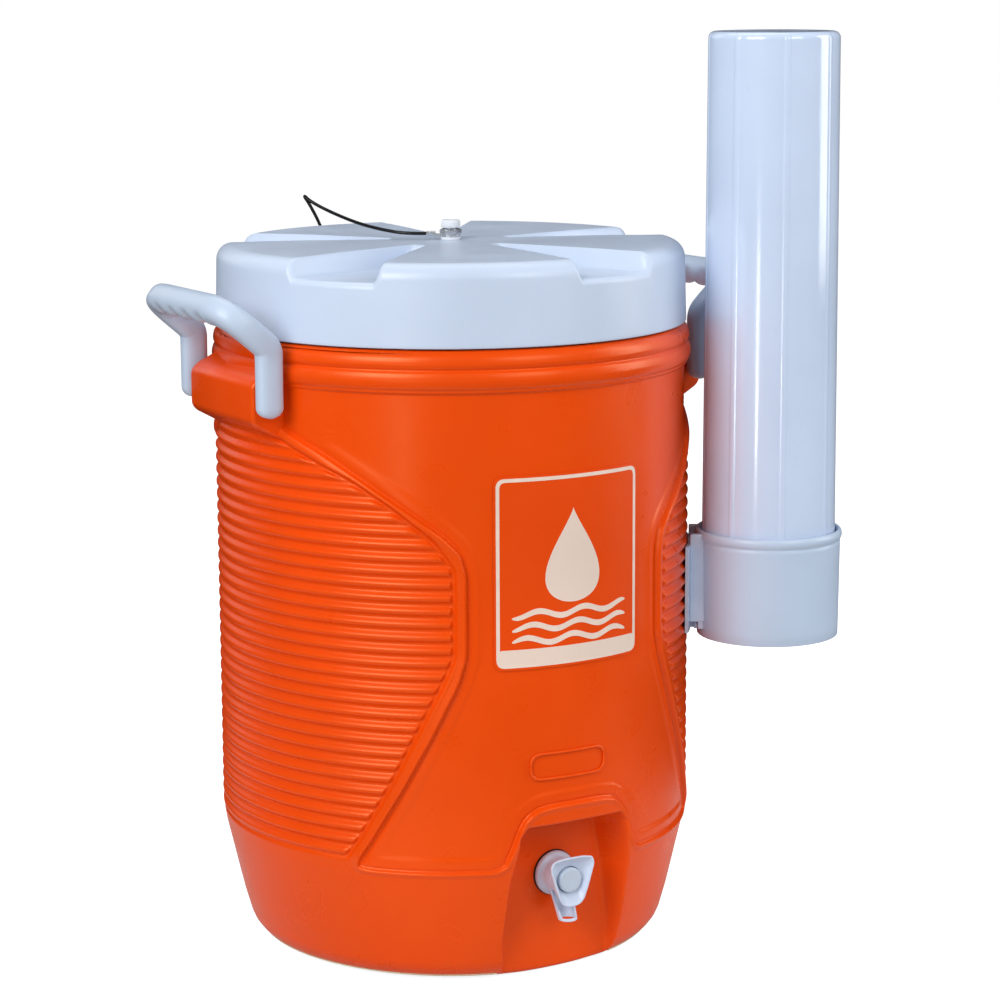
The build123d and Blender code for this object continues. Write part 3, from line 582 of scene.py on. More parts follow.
def body_columns(z):
    """Angles of one half row, in degrees, with columns that follow the outlines."""
    floor = np.degrees(np.arctan(table(FLOOR, np.minimum(z, 104), 0) / TAP_FLOOR_Y))
    mouth = np.degrees(np.arcsin(table(MOUTH, np.minimum(z, 108), 0) / 160.0))
    arch = max(table(ARCH[:5], min(max(z, 83), 115)), mouth + 2.4)
    panel = eased(PANEL_SIDE, z, 4.0)
    ribs = eased(RIB_SIDE, z, 4.0)
    stops = [
        (0.0, 32),
        (floor - 0.6, 4),
        (floor + 0.2, 10),
        (mouth - 0.4, 6),
        (mouth + 0.6, 6),
        (arch - 1.2, 8),
        (arch + 0.5, 6),
        (24.0, 24),
        (panel - 0.5, 10),
        (panel + 1.2, 8),
        (ribs - 0.6, 7),
        (ribs + 1.0, 34),
        (90.0, 0),
    ]
    out = []
    for (start, count), (end, _) in zip(stops, stops[1:]):
        out.append(np.linspace(start, end, count, endpoint=False))
    return np.concatenate(out)


def panel_outline(with_arch):
    """Half of the smooth panel's edge, from the front's middle at the bottom up to its top corner."""
    z = np.linspace(84, 395, 240)
    side = [(a * DEG * BODY_R, h) for a, h in zip(eased(PANEL_SIDE, z, 4.0), z)]
    start = side[0][0]
    bottom = [(start - 3, 83.2), (start - 8, 82.8)]
    if with_arch:
        lower = [(62, 82.8), (58, 83.1), (55, 84.2)] + [(a * DEG * BODY_R, h) for a, h in ARCH[1:]]
    else:
        lower = [(0, 82.8)]
    corner = PANEL_SIDE[-1][0] * DEG * BODY_R
    return lower[::-1] + bottom[::-1] + side + [(corner, PANEL_TOP_Z), (corner, PANEL_TOP_Z + 4)]


def body_radius(half, z, front):
    """The skin's radius at an angle from the nearer of front and back, in degrees, and a height."""
    s = half * DEG * BODY_R
    outline = panel_outline(front)
    polygon = outline + [(0, 400)]
    gap = line_distance(s, z, outline)
    gap = np.where(inside(s, z, polygon), -gap, gap)
    rib_z = np.linspace(82, 396, 240)
    rib_angles = eased(RIB_SIDE, rib_z, 4.0)
    rib_line = [(a * DEG * BODY_R, h) for a, h in zip(rib_angles, rib_z)]
    rib_gap = line_distance(s, z, rib_line)
    rib_gap = np.where(half > np.interp(z, rib_z, rib_angles), rib_gap, -rib_gap)
    ends = np.minimum(z - RIB_START_Z, RIB_END_Z - z)
    phase = (z - RIB_START_Z) / RIB_PITCH % 1.0
    rib = BODY_R - RIB_WAVE + RIB_WAVE * (0.5 - 0.5 * np.cos(2 * math.pi * phase)) ** 0.85
    base = table(BASE_LINE, z, 0)
    crest = 2.0 + 2.6 * soft((z - 290) / 40)
    frame_top = base + RIDGE_HEIGHT * soft(gap / crest) * (1 - soft((gap - crest) / 3.4))
    drop = soft((rib_gap + 3.6) / 3.2) * soft((z - 86) / 6) * soft((RIB_END_Z + 3 - z) / 8)
    frame_top = frame_top - (frame_top - (BODY_R - RIB_WAVE)) * drop
    raised = frame_top + (np.minimum(rib, base) - frame_top) * soft(np.minimum(rib_gap, ends) / 2.2)
    pad = np.minimum(-gap, (62.5 - half) * DEG * BODY_R)
    panel = PANEL_R + 0.4 - 0.8 * soft((pad - 6.2) / 3.8) - 0.5 * soft((gap + 1.9) / 1.2)
    level = np.minimum(panel, base)
    radius = level + (raised - level) * soft((gap + 0.1) / 1.4)
    fine = np.linspace(PANEL_TOP_Z, LEDGE_Z, 120)
    shape = np.array([table(BEADS, fine + o, 0) for o in np.linspace(-0.5, 0.5, 5)]).mean(axis=0)
    top = np.interp(z, fine, shape)
    share = soft((z - PANEL_TOP_Z) / 1.5)
    return radius + (top - radius) * share


def recess_radius(half, z):
    """How far from the axis the tap's recess reaches, at an angle and a height."""
    cos, sin = np.cos(half * DEG), np.sin(half * DEG)
    mouth, floor = table(MOUTH, z, 0), table(FLOOR, z, 0)
    lean = (mouth - floor) / (MOUTH_Y - TAP_FLOOR_Y)
    foot = floor - TAP_FLOOR_Y * lean
    wall = foot / np.minimum(sin - lean * cos, -1e-3)
    low, high = RECESS_TOP
    ceiling = TAP_FLOOR_Y + (CEILING_Y - TAP_FLOOR_Y) * (z - low) / (high - low)
    deep = smooth_max(TAP_FLOOR_Y / cos, np.minimum(wall, 400.0), 5.0)
    return smooth_max(deep, np.minimum(ceiling / cos, 400.0), 5.0)


def body_skin():
    """The whole outer shell: its ribbed outside, its lip under the lid, and its plain inside."""
    z = body_rows()
    quarter = np.array([body_columns(h) for h in z])
    ninety = np.full((len(z), 1), 90.0)
    half_ring = np.concatenate([-quarter[:, 1:][:, ::-1], quarter], axis=1)
    angle = np.concatenate([half_ring, ninety, half_ring + 180.0, ninety + 180.0], axis=1)
    height = np.repeat(z[:, None], angle.shape[1], axis=1)
    width = half_ring.shape[1]
    radius = np.zeros(angle.shape)
    for front in (True, False):
        span = slice(0, width + 1) if front else slice(width + 1, None)
        local = angle[:, span] - (0 if front else 180)
        radius[:, span] = body_radius(np.abs(local), height[:, span], front)
    span = slice(0, width + 1)
    local = np.abs(angle[:, span])
    cut = recess_radius(np.minimum(local, RECESS_HALF_ANGLE), height[:, span])
    cut_side = smooth_min(radius[:, span], cut, 4.0)
    use = (local < RECESS_HALF_ANGLE) & (height[:, span] < RECESS_REACH_Z)
    radius[:, span] = np.where(use, cut_side, radius[:, span])
    outer = polar(radius, angle, height)
    under = [(118.0, 0.0), (100.4, 0.0), (99.8, 1.5), (95.4, 1.5), (94.8, 0.0), (50, 0.0), (2.0, 0.0)]
    over = [(159.4, 422.2), (158.4, 423.4), (157.2, 424.0), (153.4, 424.0), (152.2, 423.2), (151.6, 421.2)]
    over += [(146.4, 421.0), (146.2, 417.7), (150.0, 417.6)]
    turn = angle[0]
    below = [polar(r, turn, h) for r, h in reversed(under)]
    above = [polar(r, turn, h) for r, h in over]
    inner = []
    for h in (417.5, 395, 360, 300, 240, 180, 150, 140, 133, 126, 100, 70, 40, 20, 8, 5):
        narrow = soft((30 - np.abs((turn + 180) % 360 - 180)) / 7) * soft((142 - h) / 14)
        r = np.minimum(156.2, table(BASE_LINE, h, 0) - 4.2)
        r = r + (121.0 - r) * narrow
        inner.append(polar(r, turn, h))
    lower = [polar(r, turn, 4.5) for r in (100.0, 2.0)]
    rows = np.concatenate([below, outer, above, inner, lower])
    skin = rings("body_skin", rows, join=True, sharp=None)
    return finish_piece(skin, "orange", "cooler", "orange_plastic", "outer_shell")


def polar(radius, degrees, z):
    """Points from a radius, an angle from the front towards +X and a height."""
    return ring_at(radius, degrees * DEG, z)


body_skin()


def bevelled_prism(name, outline, y0, y1, width, corner=2.5):
    """An (x, z) outline drawn out along Y, with all its edges rounded."""
    outline = rounded(outline, corner, steps=5)
    middle = outline.mean(axis=0)
    reach = np.abs(outline - middle).max(axis=0)

    def row(k, y, inward):
        """The outline at the bevel's step k, from the end at y."""
        a = k / 6 * math.pi / 2
        line = middle + (outline - middle) * (1 - width * (1 - math.sin(a)) / reach)
        return [(x, y + inward * width * (1 - math.cos(a)), z) for x, z in line]

    rows = [row(k, y0, 1) for k in range(7)]
    rows += [[(p[0], (y0 + y1) / 2, p[1]) for p in outline]]
    rows += [row(6 - k, y1, -1) for k in range(1, 7)]
    return rings(name, rows, sharp=50)


BRACKET = [(150, 412), (160.5, 407), (170.5, 402.5), (175, 398)]
BRACKET += [(175, 374.5), (172, 370.8), (156, 362.0), (150, 359.5)]
BRACKET_HALF_Y = 46.5
for side, word in ((-1, "left"), (1, "right")):
    outline = [(side * x, z) for x, z in BRACKET]
    block = bevelled_prism(f"{word}_handle_block", outline, -BRACKET_HALF_Y, BRACKET_HALF_Y, 3.2, 4.0)
    finish_piece(block, "orange", "cooler", "orange_plastic", "outer_shell")

# ---------------------------------------------------------------- front print and badge
FILM_R = PANEL_R + 0.45


def on_body(s, z, radius):
    """Points on the body's front from distances round it and heights."""
    angle = np.asarray(s) / BODY_R
    return np.stack([radius * np.sin(angle), -radius * np.cos(angle), np.asarray(z) + 0 * angle], axis=-1)


def flat_ring(name, outer, inner, r0, r1):
    """A closed band between two outlines that have the same number of points."""
    corners = ((outer, r0), (outer, r1), (inner, r1), (inner, r0))
    rows = [on_body(line[:, 0], line[:, 1], r) for line, r in corners]
    return rings(name, rows, join=True, sharp=30)


def flat_shape(name, outline, r0, r1, steps=10):
    """A closed thin shape on the body's curve, filled towards its middle."""
    outline = np.array(outline)
    middle = outline.mean(axis=0)
    scales = np.linspace(1, 0.02, steps)
    rows = [on_body(*(middle + (outline - middle) * k).T, r1) for k in scales[::-1]]
    rows += [on_body(*(middle + (outline - middle) * k).T, r0) for k in scales]
    return rings(name, rows, sharp=30)


def box_line(s0, s1, z0, z1, corner):
    """A box's outline with rounded corners, in distances round the body and heights."""
    return rounded([(s0, z0), (s1, z0), (s1, z1), (s0, z1)], corner, steps=8)


def dense(outline, step):
    return evenly(outline, step, closed=True)


LABEL_S = (-20.8 * DEG * BODY_R, 18.8 * DEG * BODY_R)
LABEL_Z = (216.0, 343.0)


def label():
    """A sticker with a printed frame, a drop over three waves, and a plain strip."""
    s0, s1 = LABEL_S
    z0, z1 = LABEL_Z
    edge = dense(box_line(s0, s1, z0, z1, 7), 2.0)
    film = flat_shape("label_film_sheet", edge, FILM_R - 0.3, FILM_R + 0.12, 30)
    finish_piece(film, "film", "cooler", "label_vinyl", "front_label")
    top = FILM_R + 0.26
    outer = box_line(s0 + 1.6, s1 - 1.6, z0 + 1.6, z1 - 1.6, 6)
    inner = box_line(s0 + 4.0, s1 - 4.0, z0 + 4.0, z1 - 4.0, 4)
    pair = [resample(dense(line, 1.0), 360) for line in (outer, inner)]
    frame_line = flat_ring("label_frame_print", *pair, FILM_R - 0.1, top)
    finish_piece(frame_line, "cream", "cooler", "label_vinyl")
    middle_s, drop_z = (s0 + s1) / 2, 289.0
    t = whole_turn(96)
    wide = np.sin(t) * np.sin(t / 2) ** 1.6
    drop = np.stack([middle_s + 30.0 * wide, drop_z + 31.0 * np.cos(t)], axis=1)
    shape = flat_shape("label_drop_print", resample(drop, 96), FILM_R - 0.1, top, 16)
    finish_piece(shape, "cream", "cooler", "label_vinyl")
    strip = box_line(s0 + 3.2, s1 - 3.2, z0 + 3.2, z0 + 13.5, 2.5)
    strip = flat_shape("label_strip_print", dense(strip, 1.5), FILM_R - 0.1, top, 16)
    finish_piece(strip, "cream", "cooler", "label_vinyl")
    wide = 44.0
    s = np.linspace(-wide, wide, 120)
    for k, z in enumerate((252.0, 243.5, 235.0)):
        centre = z + 2.0 * np.sin(s / 8.4 * math.pi / 2 + 0.8 * k)
        thick = 1.9 * np.sqrt(np.clip(1 - (s / wide) ** 8, 0.0, 1)) + 0.02
        upper = np.stack([middle_s + s, centre + thick], axis=1)
        lower = np.stack([middle_s + s, centre - thick], axis=1)
        rows = []
        for i in range(len(s)):
            section = [(upper[i], FILM_R - 0.1), (upper[i], top), (lower[i], top), (lower[i], FILM_R - 0.1)]
            rows.append([on_body(p[0], p[1], r) for p, r in section])
        wave = rings(f"label_wave_print_{k + 1}", rows, sharp=30)
        finish_piece(wave, "cream", "cooler", "label_vinyl")


def resample(line, count):
    """A closed line as a set number of points."""
    line = np.vstack([line, line[:1]])
    at = np.concatenate([[0], np.cumsum(np.linalg.norm(np.diff(line, axis=0), axis=1))])
    s = np.linspace(0, at[-1], count, endpoint=False)
    return np.stack([np.interp(s, at, line[:, k]) for k in range(2)], axis=1)


label()


def badge():
    """A raised outline on the panel over the tap."""
    s0, s1 = -12 * DEG * BODY_R, 8 * DEG * BODY_R
    rows = []
    centre = resample(box_line(s0, s1, 141.5, 158.5, 8.0), 260)
    middle = centre.mean(axis=0)
    outward = centre - middle
    size = np.abs(outward).max(axis=0)
    for side, lift in ((0.9, -0.4), (0.75, 0.25), (0.35, 0.55), (-0.35, 0.55), (-0.75, 0.25), (-0.9, -0.4)):
        line = middle + outward * (1 + side / size)
        rows.append(on_body(line[:, 0], line[:, 1], FILM_R + lift))
    ring = rings("badge_outline", rows, join=True, sharp=None)
    finish_piece(ring, "orange", "cooler", "orange_plastic")


badge()

# ---------------------------------------------------------------- lid
LID_R = 160.0
LID_TOP_Z = 479.0
LID_BOTTOM_Z = 425.0
LID_DROP = 13.0
LID_RECESS_ANGLE = 13.0
LID_BORE = 3.1


def lid_drop(x, y):
    """How far a point of the lid's top is let down, from 0 on the top to 1 on a recess's floor."""
    angle = np.degrees(np.arctan2(x, -y))
    radius = np.hypot(x, y)
    off = (angle - LID_RECESS_ANGLE + 36.0) % 72.0 - 36.0
    along, across = radius * np.cos(off * DEG), np.abs(radius * np.sin(off * DEG))
    top_half = 4.0 + (along - 38.0) * (36.0 / 134.0)
    floor_half = 3.0 + (along - 52.0) * (30.5 / 120.0)
    wall = np.maximum(top_half - floor_half, 4.5)
    t = smooth_min((top_half - across) / wall, (along - 40.0) / 20.0, 0.3)
    return soft(t)


def lid_skin():
    """The lid's shell: its top with the sunk wedges, its rim, its side, and its hollow underside."""
    a = np.linspace(0, 360, 1080, endpoint=False) * DEG

    def drop_at(r):
        return lid_drop(r * np.sin(a), -r * np.cos(a))

    rim = 11.0 - 6.5 * drop_at(150.0)
    rows = []
    flat = LID_R - 1.3 - rim
    for t in np.linspace(0, 1, 118):
        r = LID_BORE + (flat - LID_BORE) * t
        share = drop_at(r)
        rows.append(ring_at(r, a, LID_TOP_Z - LID_DROP * share - 0.5 * soft((r - 100) / 50) * (1 - share)))
    for k in range(1, 15):
        turn = k / 14 * math.pi / 2
        r = flat + rim * math.sin(turn)
        share = drop_at(r)
        z = LID_TOP_Z - LID_DROP * share - 0.5 * (1 - share) - rim * (1 - math.cos(turn))
        rows.append(ring_at(r, a, z))
    last = rows[-1][:, 2]
    for t in np.linspace(0, 1, 22)[1:]:
        rows.append(ring_at(LID_R - 1.3 + 1.2 * t, a, last + (LID_BOTTOM_Z + 0.9 - last) * t))
    lip = [(0.25, 425.25), (0.9, 425.0), (2.0, 425.0), (2.7, 425.4), (2.9, 430.0), (2.9, 445.0), (2.9, 460.0)]
    rows += [ring_at(LID_R - inset, a, z) for inset, z in lip]
    for t in np.linspace(1, 0, 60):
        r = LID_BORE + (LID_R - 5.5 - LID_BORE) * t
        under = np.minimum(LID_TOP_Z - 2.8 - LID_DROP * drop_at(r), LID_TOP_Z - 3.4) - 1.0 * (t > 0.97)
        rows.append(ring_at(r, a, under))
    skin = rings("lid_skin", rows, join=True, sharp=None)
    return finish_piece(skin, "lid", "lid", "lid_plastic", "lid_shell")


lid_skin()

# ---------------------------------------------------------------- centre fitting on the lid
washer_line = [(LID_BORE, LID_TOP_Z), (6.8, LID_TOP_Z), (6.8, 481.0), (LID_BORE, 481.0)]
washer = lathe("lid_washer_disc", rounded(washer_line, 0.5), around=72)
finish_piece(washer, "white_rubber", "lid", "white_rubber", "lid_washer")


def polygon_nut(name, sides, reach, bore, z0, z1):
    """A nut with turned-off corners."""
    angle = whole_turn(16 * sides) + math.pi / 2
    step = 2 * math.pi / sides
    flat = reach * math.cos(step / 2) / np.cos((angle - math.pi / 2 + step / 2) % step - step / 2)
    chamfer = ((0.0, 0.86), (0.1, 0.93), (0.22, 1.0), (0.78, 1.0), (0.9, 0.93), (1.0, 0.86))
    rows = [ring_at(np.minimum(flat, reach * cut), angle, z0 + (z1 - z0) * share) for share, cut in chamfer]
    inside_line = ((z1, 0.5), (z1 - 0.4, 0), (z0 + 0.4, 0), (z0, 0.5))
    rows += [ring_at(bore + grow, angle, z) for z, grow in inside_line]
    return rings(name, rows, join=True, sharp=25)


nut = polygon_nut("lid_nut_hex", 6, 7.6, 3.02, 483.0, 486.2)
finish_piece(nut, "steel", "lid", "plated_steel", "lid_nut")

# The screw stops inside the knob, so its thread never shows.
KNOB_DROP = 3.6
stud_line = [(0.3, 450.2), (2.6, 450.2), (3.0, 450.7), (3.0, 486.0), (3.7, 486.2), (3.7, 487.2)]
stud_line += [(0.3, 487.25)]
stud = lathe("lid_stud_screw", stud_line, around=64, join=False)
finish_piece(stud, "steel", "lid", "plated_steel", "lid_stud")


def knurled_knob():
    """The knob's turned outline, with 30 shallow teeth round its edge."""
    angle = whole_turn(240) + math.pi / 2
    teeth = 0.42 * (0.5 + 0.5 * np.cos((angle - math.pi / 2) * 30))
    outline = [(0.3, 495.3), (3.4, 495.4), (4.2, 495.9), (5.6, 496.0), (6.2, 495.6), (6.55, 495.0)]
    outline += [(6.6, 493.2), (6.6, 491.6), (6.3, 490.9), (5.6, 490.5), (4.1, 490.5), (0.3, 490.55)]
    rows = [ring_at(r - teeth * (r >= 6.2), angle, z - KNOB_DROP) for r, z in outline]
    return rings("lid_knob_knurled", rows, sharp=45)


finish_piece(knurled_knob(), "knob", "lid", "knob_plastic", "lid_knob")

# ---------------------------------------------------------------- handles
HANDLE_X = 167.0
HANDLE_Y = 56.0
PIVOT_Z = 386.0
FOOT_Z = 377.6
ELBOW_Z = 423.0
GRIP_X, GRIP_Z = 196.0, 447.5
FINGER_BUMP = 3.4
FINGER_PITCH = 20.0


def handle_skin(side, name, body, node):
    """One bail: two flat legs that lean outwards into a round grip with finger bumps, and its pins."""
    half = [(HANDLE_X, HANDLE_Y, FOOT_Z), (HANDLE_X, HANDLE_Y, ELBOW_Z), (GRIP_X, HANDLE_Y - 1.5, GRIP_Z)]
    line = [(x, -y, z) for x, y, z in half] + half[::-1]
    path = evenly(rounded(line, [0, 5, 19, 19, 5, 0], closed=False, steps=14), 1.1)
    for _ in range(2):
        path[1:-1] = (path[:-2] + 2 * path[1:-1] + path[2:]) / 4
    ahead = np.gradient(path, axis=0)
    ahead /= np.linalg.norm(ahead, axis=1)[:, None]
    arm = np.array([GRIP_X - HANDLE_X, 0, GRIP_Z - ELBOW_Z])
    arm /= np.linalg.norm(arm)
    plane_normal = np.array([arm[2], 0, -arm[0]])
    lift = soft((path[:, 2] - 412.0) / 22.0)
    out = (1 - lift)[:, None] * np.array([1.0, 0, 0]) + lift[:, None] * plane_normal
    out -= ahead * np.einsum("ij,ij->i", out, ahead)[:, None]
    out /= np.linalg.norm(out, axis=1)[:, None]
    across = np.cross(ahead, out)
    gripping = soft((46.0 - np.abs(path[:, 1])) / 12.0)
    half_out = 9.0 - 0.2 * lift + 0.85 * gripping
    half_across = 6.0 + 3.2 * lift + 0.45 * gripping
    gone = np.concatenate([[0], np.cumsum(np.linalg.norm(np.diff(path, axis=0), axis=1))])
    end = np.minimum(gone, gone[-1] - gone)
    angle = whole_turn(56)
    c, s = np.cos(angle), np.sin(angle)
    power = 2.0 / (2.7 - 0.5 * gripping)
    rows = []
    dome = 7.0
    for i in range(len(path)):
        close = math.sqrt(max(0.02, 1 - (max(0.0, dome - end[i]) / dome) ** 2))
        a = half_out[i] * np.sign(c) * np.abs(c) ** power[i] * close
        b = half_across[i] * np.sign(s) * np.abs(s) ** power[i] * (0.35 + 0.65 * close)
        inner = np.clip(-np.sign(across[i] @ arm) * s, 0, 1) if gripping[i] > 0 else np.zeros_like(s)
        wave = 0.5 - 0.5 * math.cos(2 * math.pi * path[i, 1] / FINGER_PITCH)
        bumps = FINGER_BUMP * wave ** 1.5 * gripping[i]
        under = np.clip(-(c * out[i][2] + s * across[i][2]), 0, 1)
        b = b - np.sign(s) * bumps * inner
        a = a - np.sign(c) * bumps * 0.8 * under * (c > 0)
        rows.append(path[i] + a[:, None] * out[i] + b[:, None] * across[i])
    rows = np.array(rows)
    rows[..., 0] *= side
    piece = rings(name, rows, sharp=None)
    finish_piece(piece, "handle", body, "handle_plastic", node)
    for end_side, word in ((-1, "front"), (1, "rear")):
        y0, y1 = end_side * 52.0, end_side * 37.0
        pin_line = [(3.4, y1), (4.0, y1 + end_side * 0.6), (4.0, y0)]
        pin = lathe_y(f"{name}_{word}_pin", pin_line, side * HANDLE_X, PIVOT_Z)
        finish_piece(pin, "handle", body, "handle_plastic")


handle_skin(-1, "left_bail", "handle_left", "left_handle")
handle_skin(1, "right_bail", "handle_right", "right_handle")

# ---------------------------------------------------------------- tap
TAP_Z = 67.5
FACE = [(7.5, 50), (12.5, 62), (17.2, 78), (15.5, 82.5), (8, 84)]
FACE_BACK = [(6.5, 55), (9.5, 61), (11.5, 70), (10.5, 76), (6, 78.5)]


def return_spring():
    """The wire helix behind the tap's valve, built at rest; nothing here shortens it as the button goes in.
    """
    turns, length, radius, wire = 4, 10.0, 4.4, 0.4
    fixed_y, stroke = -106.5, 4.5
    share = np.linspace(0, 1, 200)
    angle = 2 * math.pi * turns * share
    y = fixed_y - wire - (length - 2 * wire) * share
    path = np.stack([radius * np.cos(angle), y, TAP_Z + radius * np.sin(angle)], axis=1)
    coil = tube_along("tap_spring_coil", path, wire)
    finish_piece(coil, "spring", "cooler", "spring_steel", "tap_spring")
    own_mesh(coil)


return_spring()


def full_line(half):
    """Both halves of an outline from the half that has positive x."""
    return half + [(-x, z) for x, z in reversed(half)]


def tap_face():
    """The dished plate round the button, with a thin rounded rim."""
    count = 160
    rim = resample(rounded(full_line(FACE), [6.5, 8, 4.5, 3.5, 5, 5, 3.5, 4.5, 8, 6.5], steps=8), count)
    back = resample(rounded(full_line(FACE_BACK), 4.0, steps=8), count)
    centre = np.array([0, TAP_Z])
    angle = np.arctan2(rim[:, 0], rim[:, 1] - TAP_Z)
    bore = np.stack([np.sin(angle), np.cos(angle)], axis=1) * 8.85 + centre

    def row(line, y):
        return np.stack([line[:, 0], np.full(count, y), line[:, 1]], axis=1)

    def mixed(share, y, grow):
        line = bore + (rim - bore) * share
        away = line - centre
        return row(line + away / np.linalg.norm(away, axis=1)[:, None] * grow, y)

    rows = [row(back, -145.0)]
    for t in (0.25, 0.5, 0.75, 0.93):
        rows.append(row(back + (rim - back) * t ** 0.8, -145.0 - 9.0 * t))
    # Each row from the rim inwards to the bore, as (share of the way out, y, growth).
    dish = [(1.0, -154.3, 0.0), (1.0, -154.7, -0.3), (1.0, -154.85, -0.8), (1.0, -154.7, -1.3)]
    dish += [(1.0, -154.1, -1.7), (0.8, -152.6, -1.5), (0.55, -151.0, -0.9), (0.3, -150.0, -0.3)]
    dish += [(0.1, -149.6, 0.0), (0.02, -149.4, 0.0), (0.0, -148.8, 0.0), (0.0, -146.0, 0.0)]
    rows += [mixed(*step) for step in dish]
    return rings("tap_face_plate", np.array(rows), join=True, sharp=55)


def tap_spout():
    """A leaning tube whose front wall is cut low, so that its hollow shows under the plate."""
    top, foot = 62.0, 40.1
    angle = whole_turn(96)
    lip = top - 20.6 * soft((np.cos(angle) + 0.45) / 0.9)
    rows = []

    def ring(z, narrow=0.0):
        share = (top - z) / 22.5
        rows.append(ring_at(8.6 - 2.2 * share - narrow, angle, z, (0.0, -139.5 - 8.6 * share)))

    for t in (0.0, 0.25, 0.5, 0.75, 1.0):
        ring(foot + (lip - 0.5 - foot) * t)
    ring(lip, 0.3)
    ring(lip, 1.0)
    for t in (0.0, 0.3, 0.6, 0.9):
        ring(lip - 0.5 - (lip - 0.8 - foot) * t, 1.3)
    for narrow, drop in ((1.3, 0.2), (1.0, 0.6), (0.5, 0.6), (0.1, 0.3)):
        ring(foot - drop, narrow)
    return rings("tap_spout", np.array(rows), join=True, sharp=50)


def tap():
    """The tap as its barrel, plate, spout, gasket and button."""
    line = [(9.7, -131.0), (14.6, -131.0), (15.0, -131.5), (15.0, -133.0), (14.3, -133.9), (12.6, -134.3)]
    line += [(11.6, -135.2), (11.2, -137.0), (11.2, -146.6), (8.9, -146.6), (8.9, -141.2), (3.0, -141.0)]
    line += [(3.0, -139.2), (6.5, -139.0), (6.5, -122.0), (4.6, -122.0), (4.6, -120.5), (7.0, -120.5)]
    line += [(7.0, -103.0), (8.6, -103.0), (9.0, -103.5), (9.0, -131.0)]
    barrel = lathe_y("tap_barrel", line, 0.0, TAP_Z, around=96, join=True)
    finish_piece(barrel, "tap", "cooler", "tap_plastic", "tap_body")
    finish_piece(tap_face(), "tap", "cooler", "tap_plastic", "tap_body")
    finish_piece(tap_spout(), "tap", "cooler", "tap_plastic", "tap_body")
    washer_line = rounded([(9.3, -131.0), (15.6, -131.0), (15.6, -130.05), (9.3, -130.05)], 0.3, steps=3)
    gasket = lathe_y("tap_gasket_ring", washer_line, 0.0, TAP_Z, join=True)
    finish_piece(gasket, "black_rubber", "cooler", "black_rubber", "tap_gasket")
    face = [(0.2, -152.1), (4.5, -152.2), (7.0, -152.45), (7.8, -152.3), (8.3, -151.9), (8.5, -151.2)]
    face += [(8.5, -147.2), (8.2, -146.6), (0.2, -146.5)]
    button = lathe_y("tap_button_cap", face, 0.0, TAP_Z)
    finish_piece(button, "button", "tap_plunger", "tap_plastic", "tap_button")


tap()

# ---------------------------------------------------------------- cup tube and collar
CUP = (182.3, -118.4)
CUP_ANGLE = 57.0
TUBE_TURN = 20.5 * DEG
TUBE_Z = (211.4, 613.0, 618.0)  # its open end, the start of its top corner, and its top
TUBE_R = 46.4
TUBE_TAPER = 1.8
RIDGES = 8
RIDGE_STEP = 0.55


def cup_tube():
    """The tall tube, closed at the top, with eight faint ridges down its side."""
    low, shoulder, top = TUBE_Z
    a = whole_turn(480)
    beat = np.abs(((a - TUBE_TURN) * RIDGES / (2 * math.pi) + 0.5) % 1.0 - 0.5) * 2 * math.pi / RIDGES * 45.0
    step = RIDGE_STEP * soft((2.4 - beat) / 1.2)
    rows = []

    def row(r, z, ribbed=0.0):
        rows.append(ring_at(r - RIDGE_STEP * ribbed + step * ribbed, a, z, CUP))

    for t in np.linspace(0, 1, 60):
        row(TUBE_R - TUBE_TAPER * t, low + (shoulder - low) * t, 1.0)
    for k in range(1, 11):
        turn = k / 10 * math.pi / 2
        row(39.6 + 5.0 * math.cos(turn), shoulder + 5.0 * math.sin(turn), 1.0 - k / 10)
    for r in (36.0, 30.0, 20.0, 10.0, 1.0):
        row(r, top - 0.6 * (1 - (r / 36.0) ** 2))
    for r, z in ((1.0, 615.6), (20.0, 615.6), (38.0, 615.6), (41.0, 612.0)):
        row(r, z)
    for t in np.linspace(1, 0, 12):
        row(TUBE_R - 2.0 - TUBE_TAPER * t, low + (608.0 - low) * t)
    row(TUBE_R - 1.2, low - 0.2)
    tube_piece = rings("cup_tube_skin", rows, join=True, sharp=45)
    finish_piece(tube_piece, "tube", "cup_sleeve", "dispenser_plastic", "cup_tube")


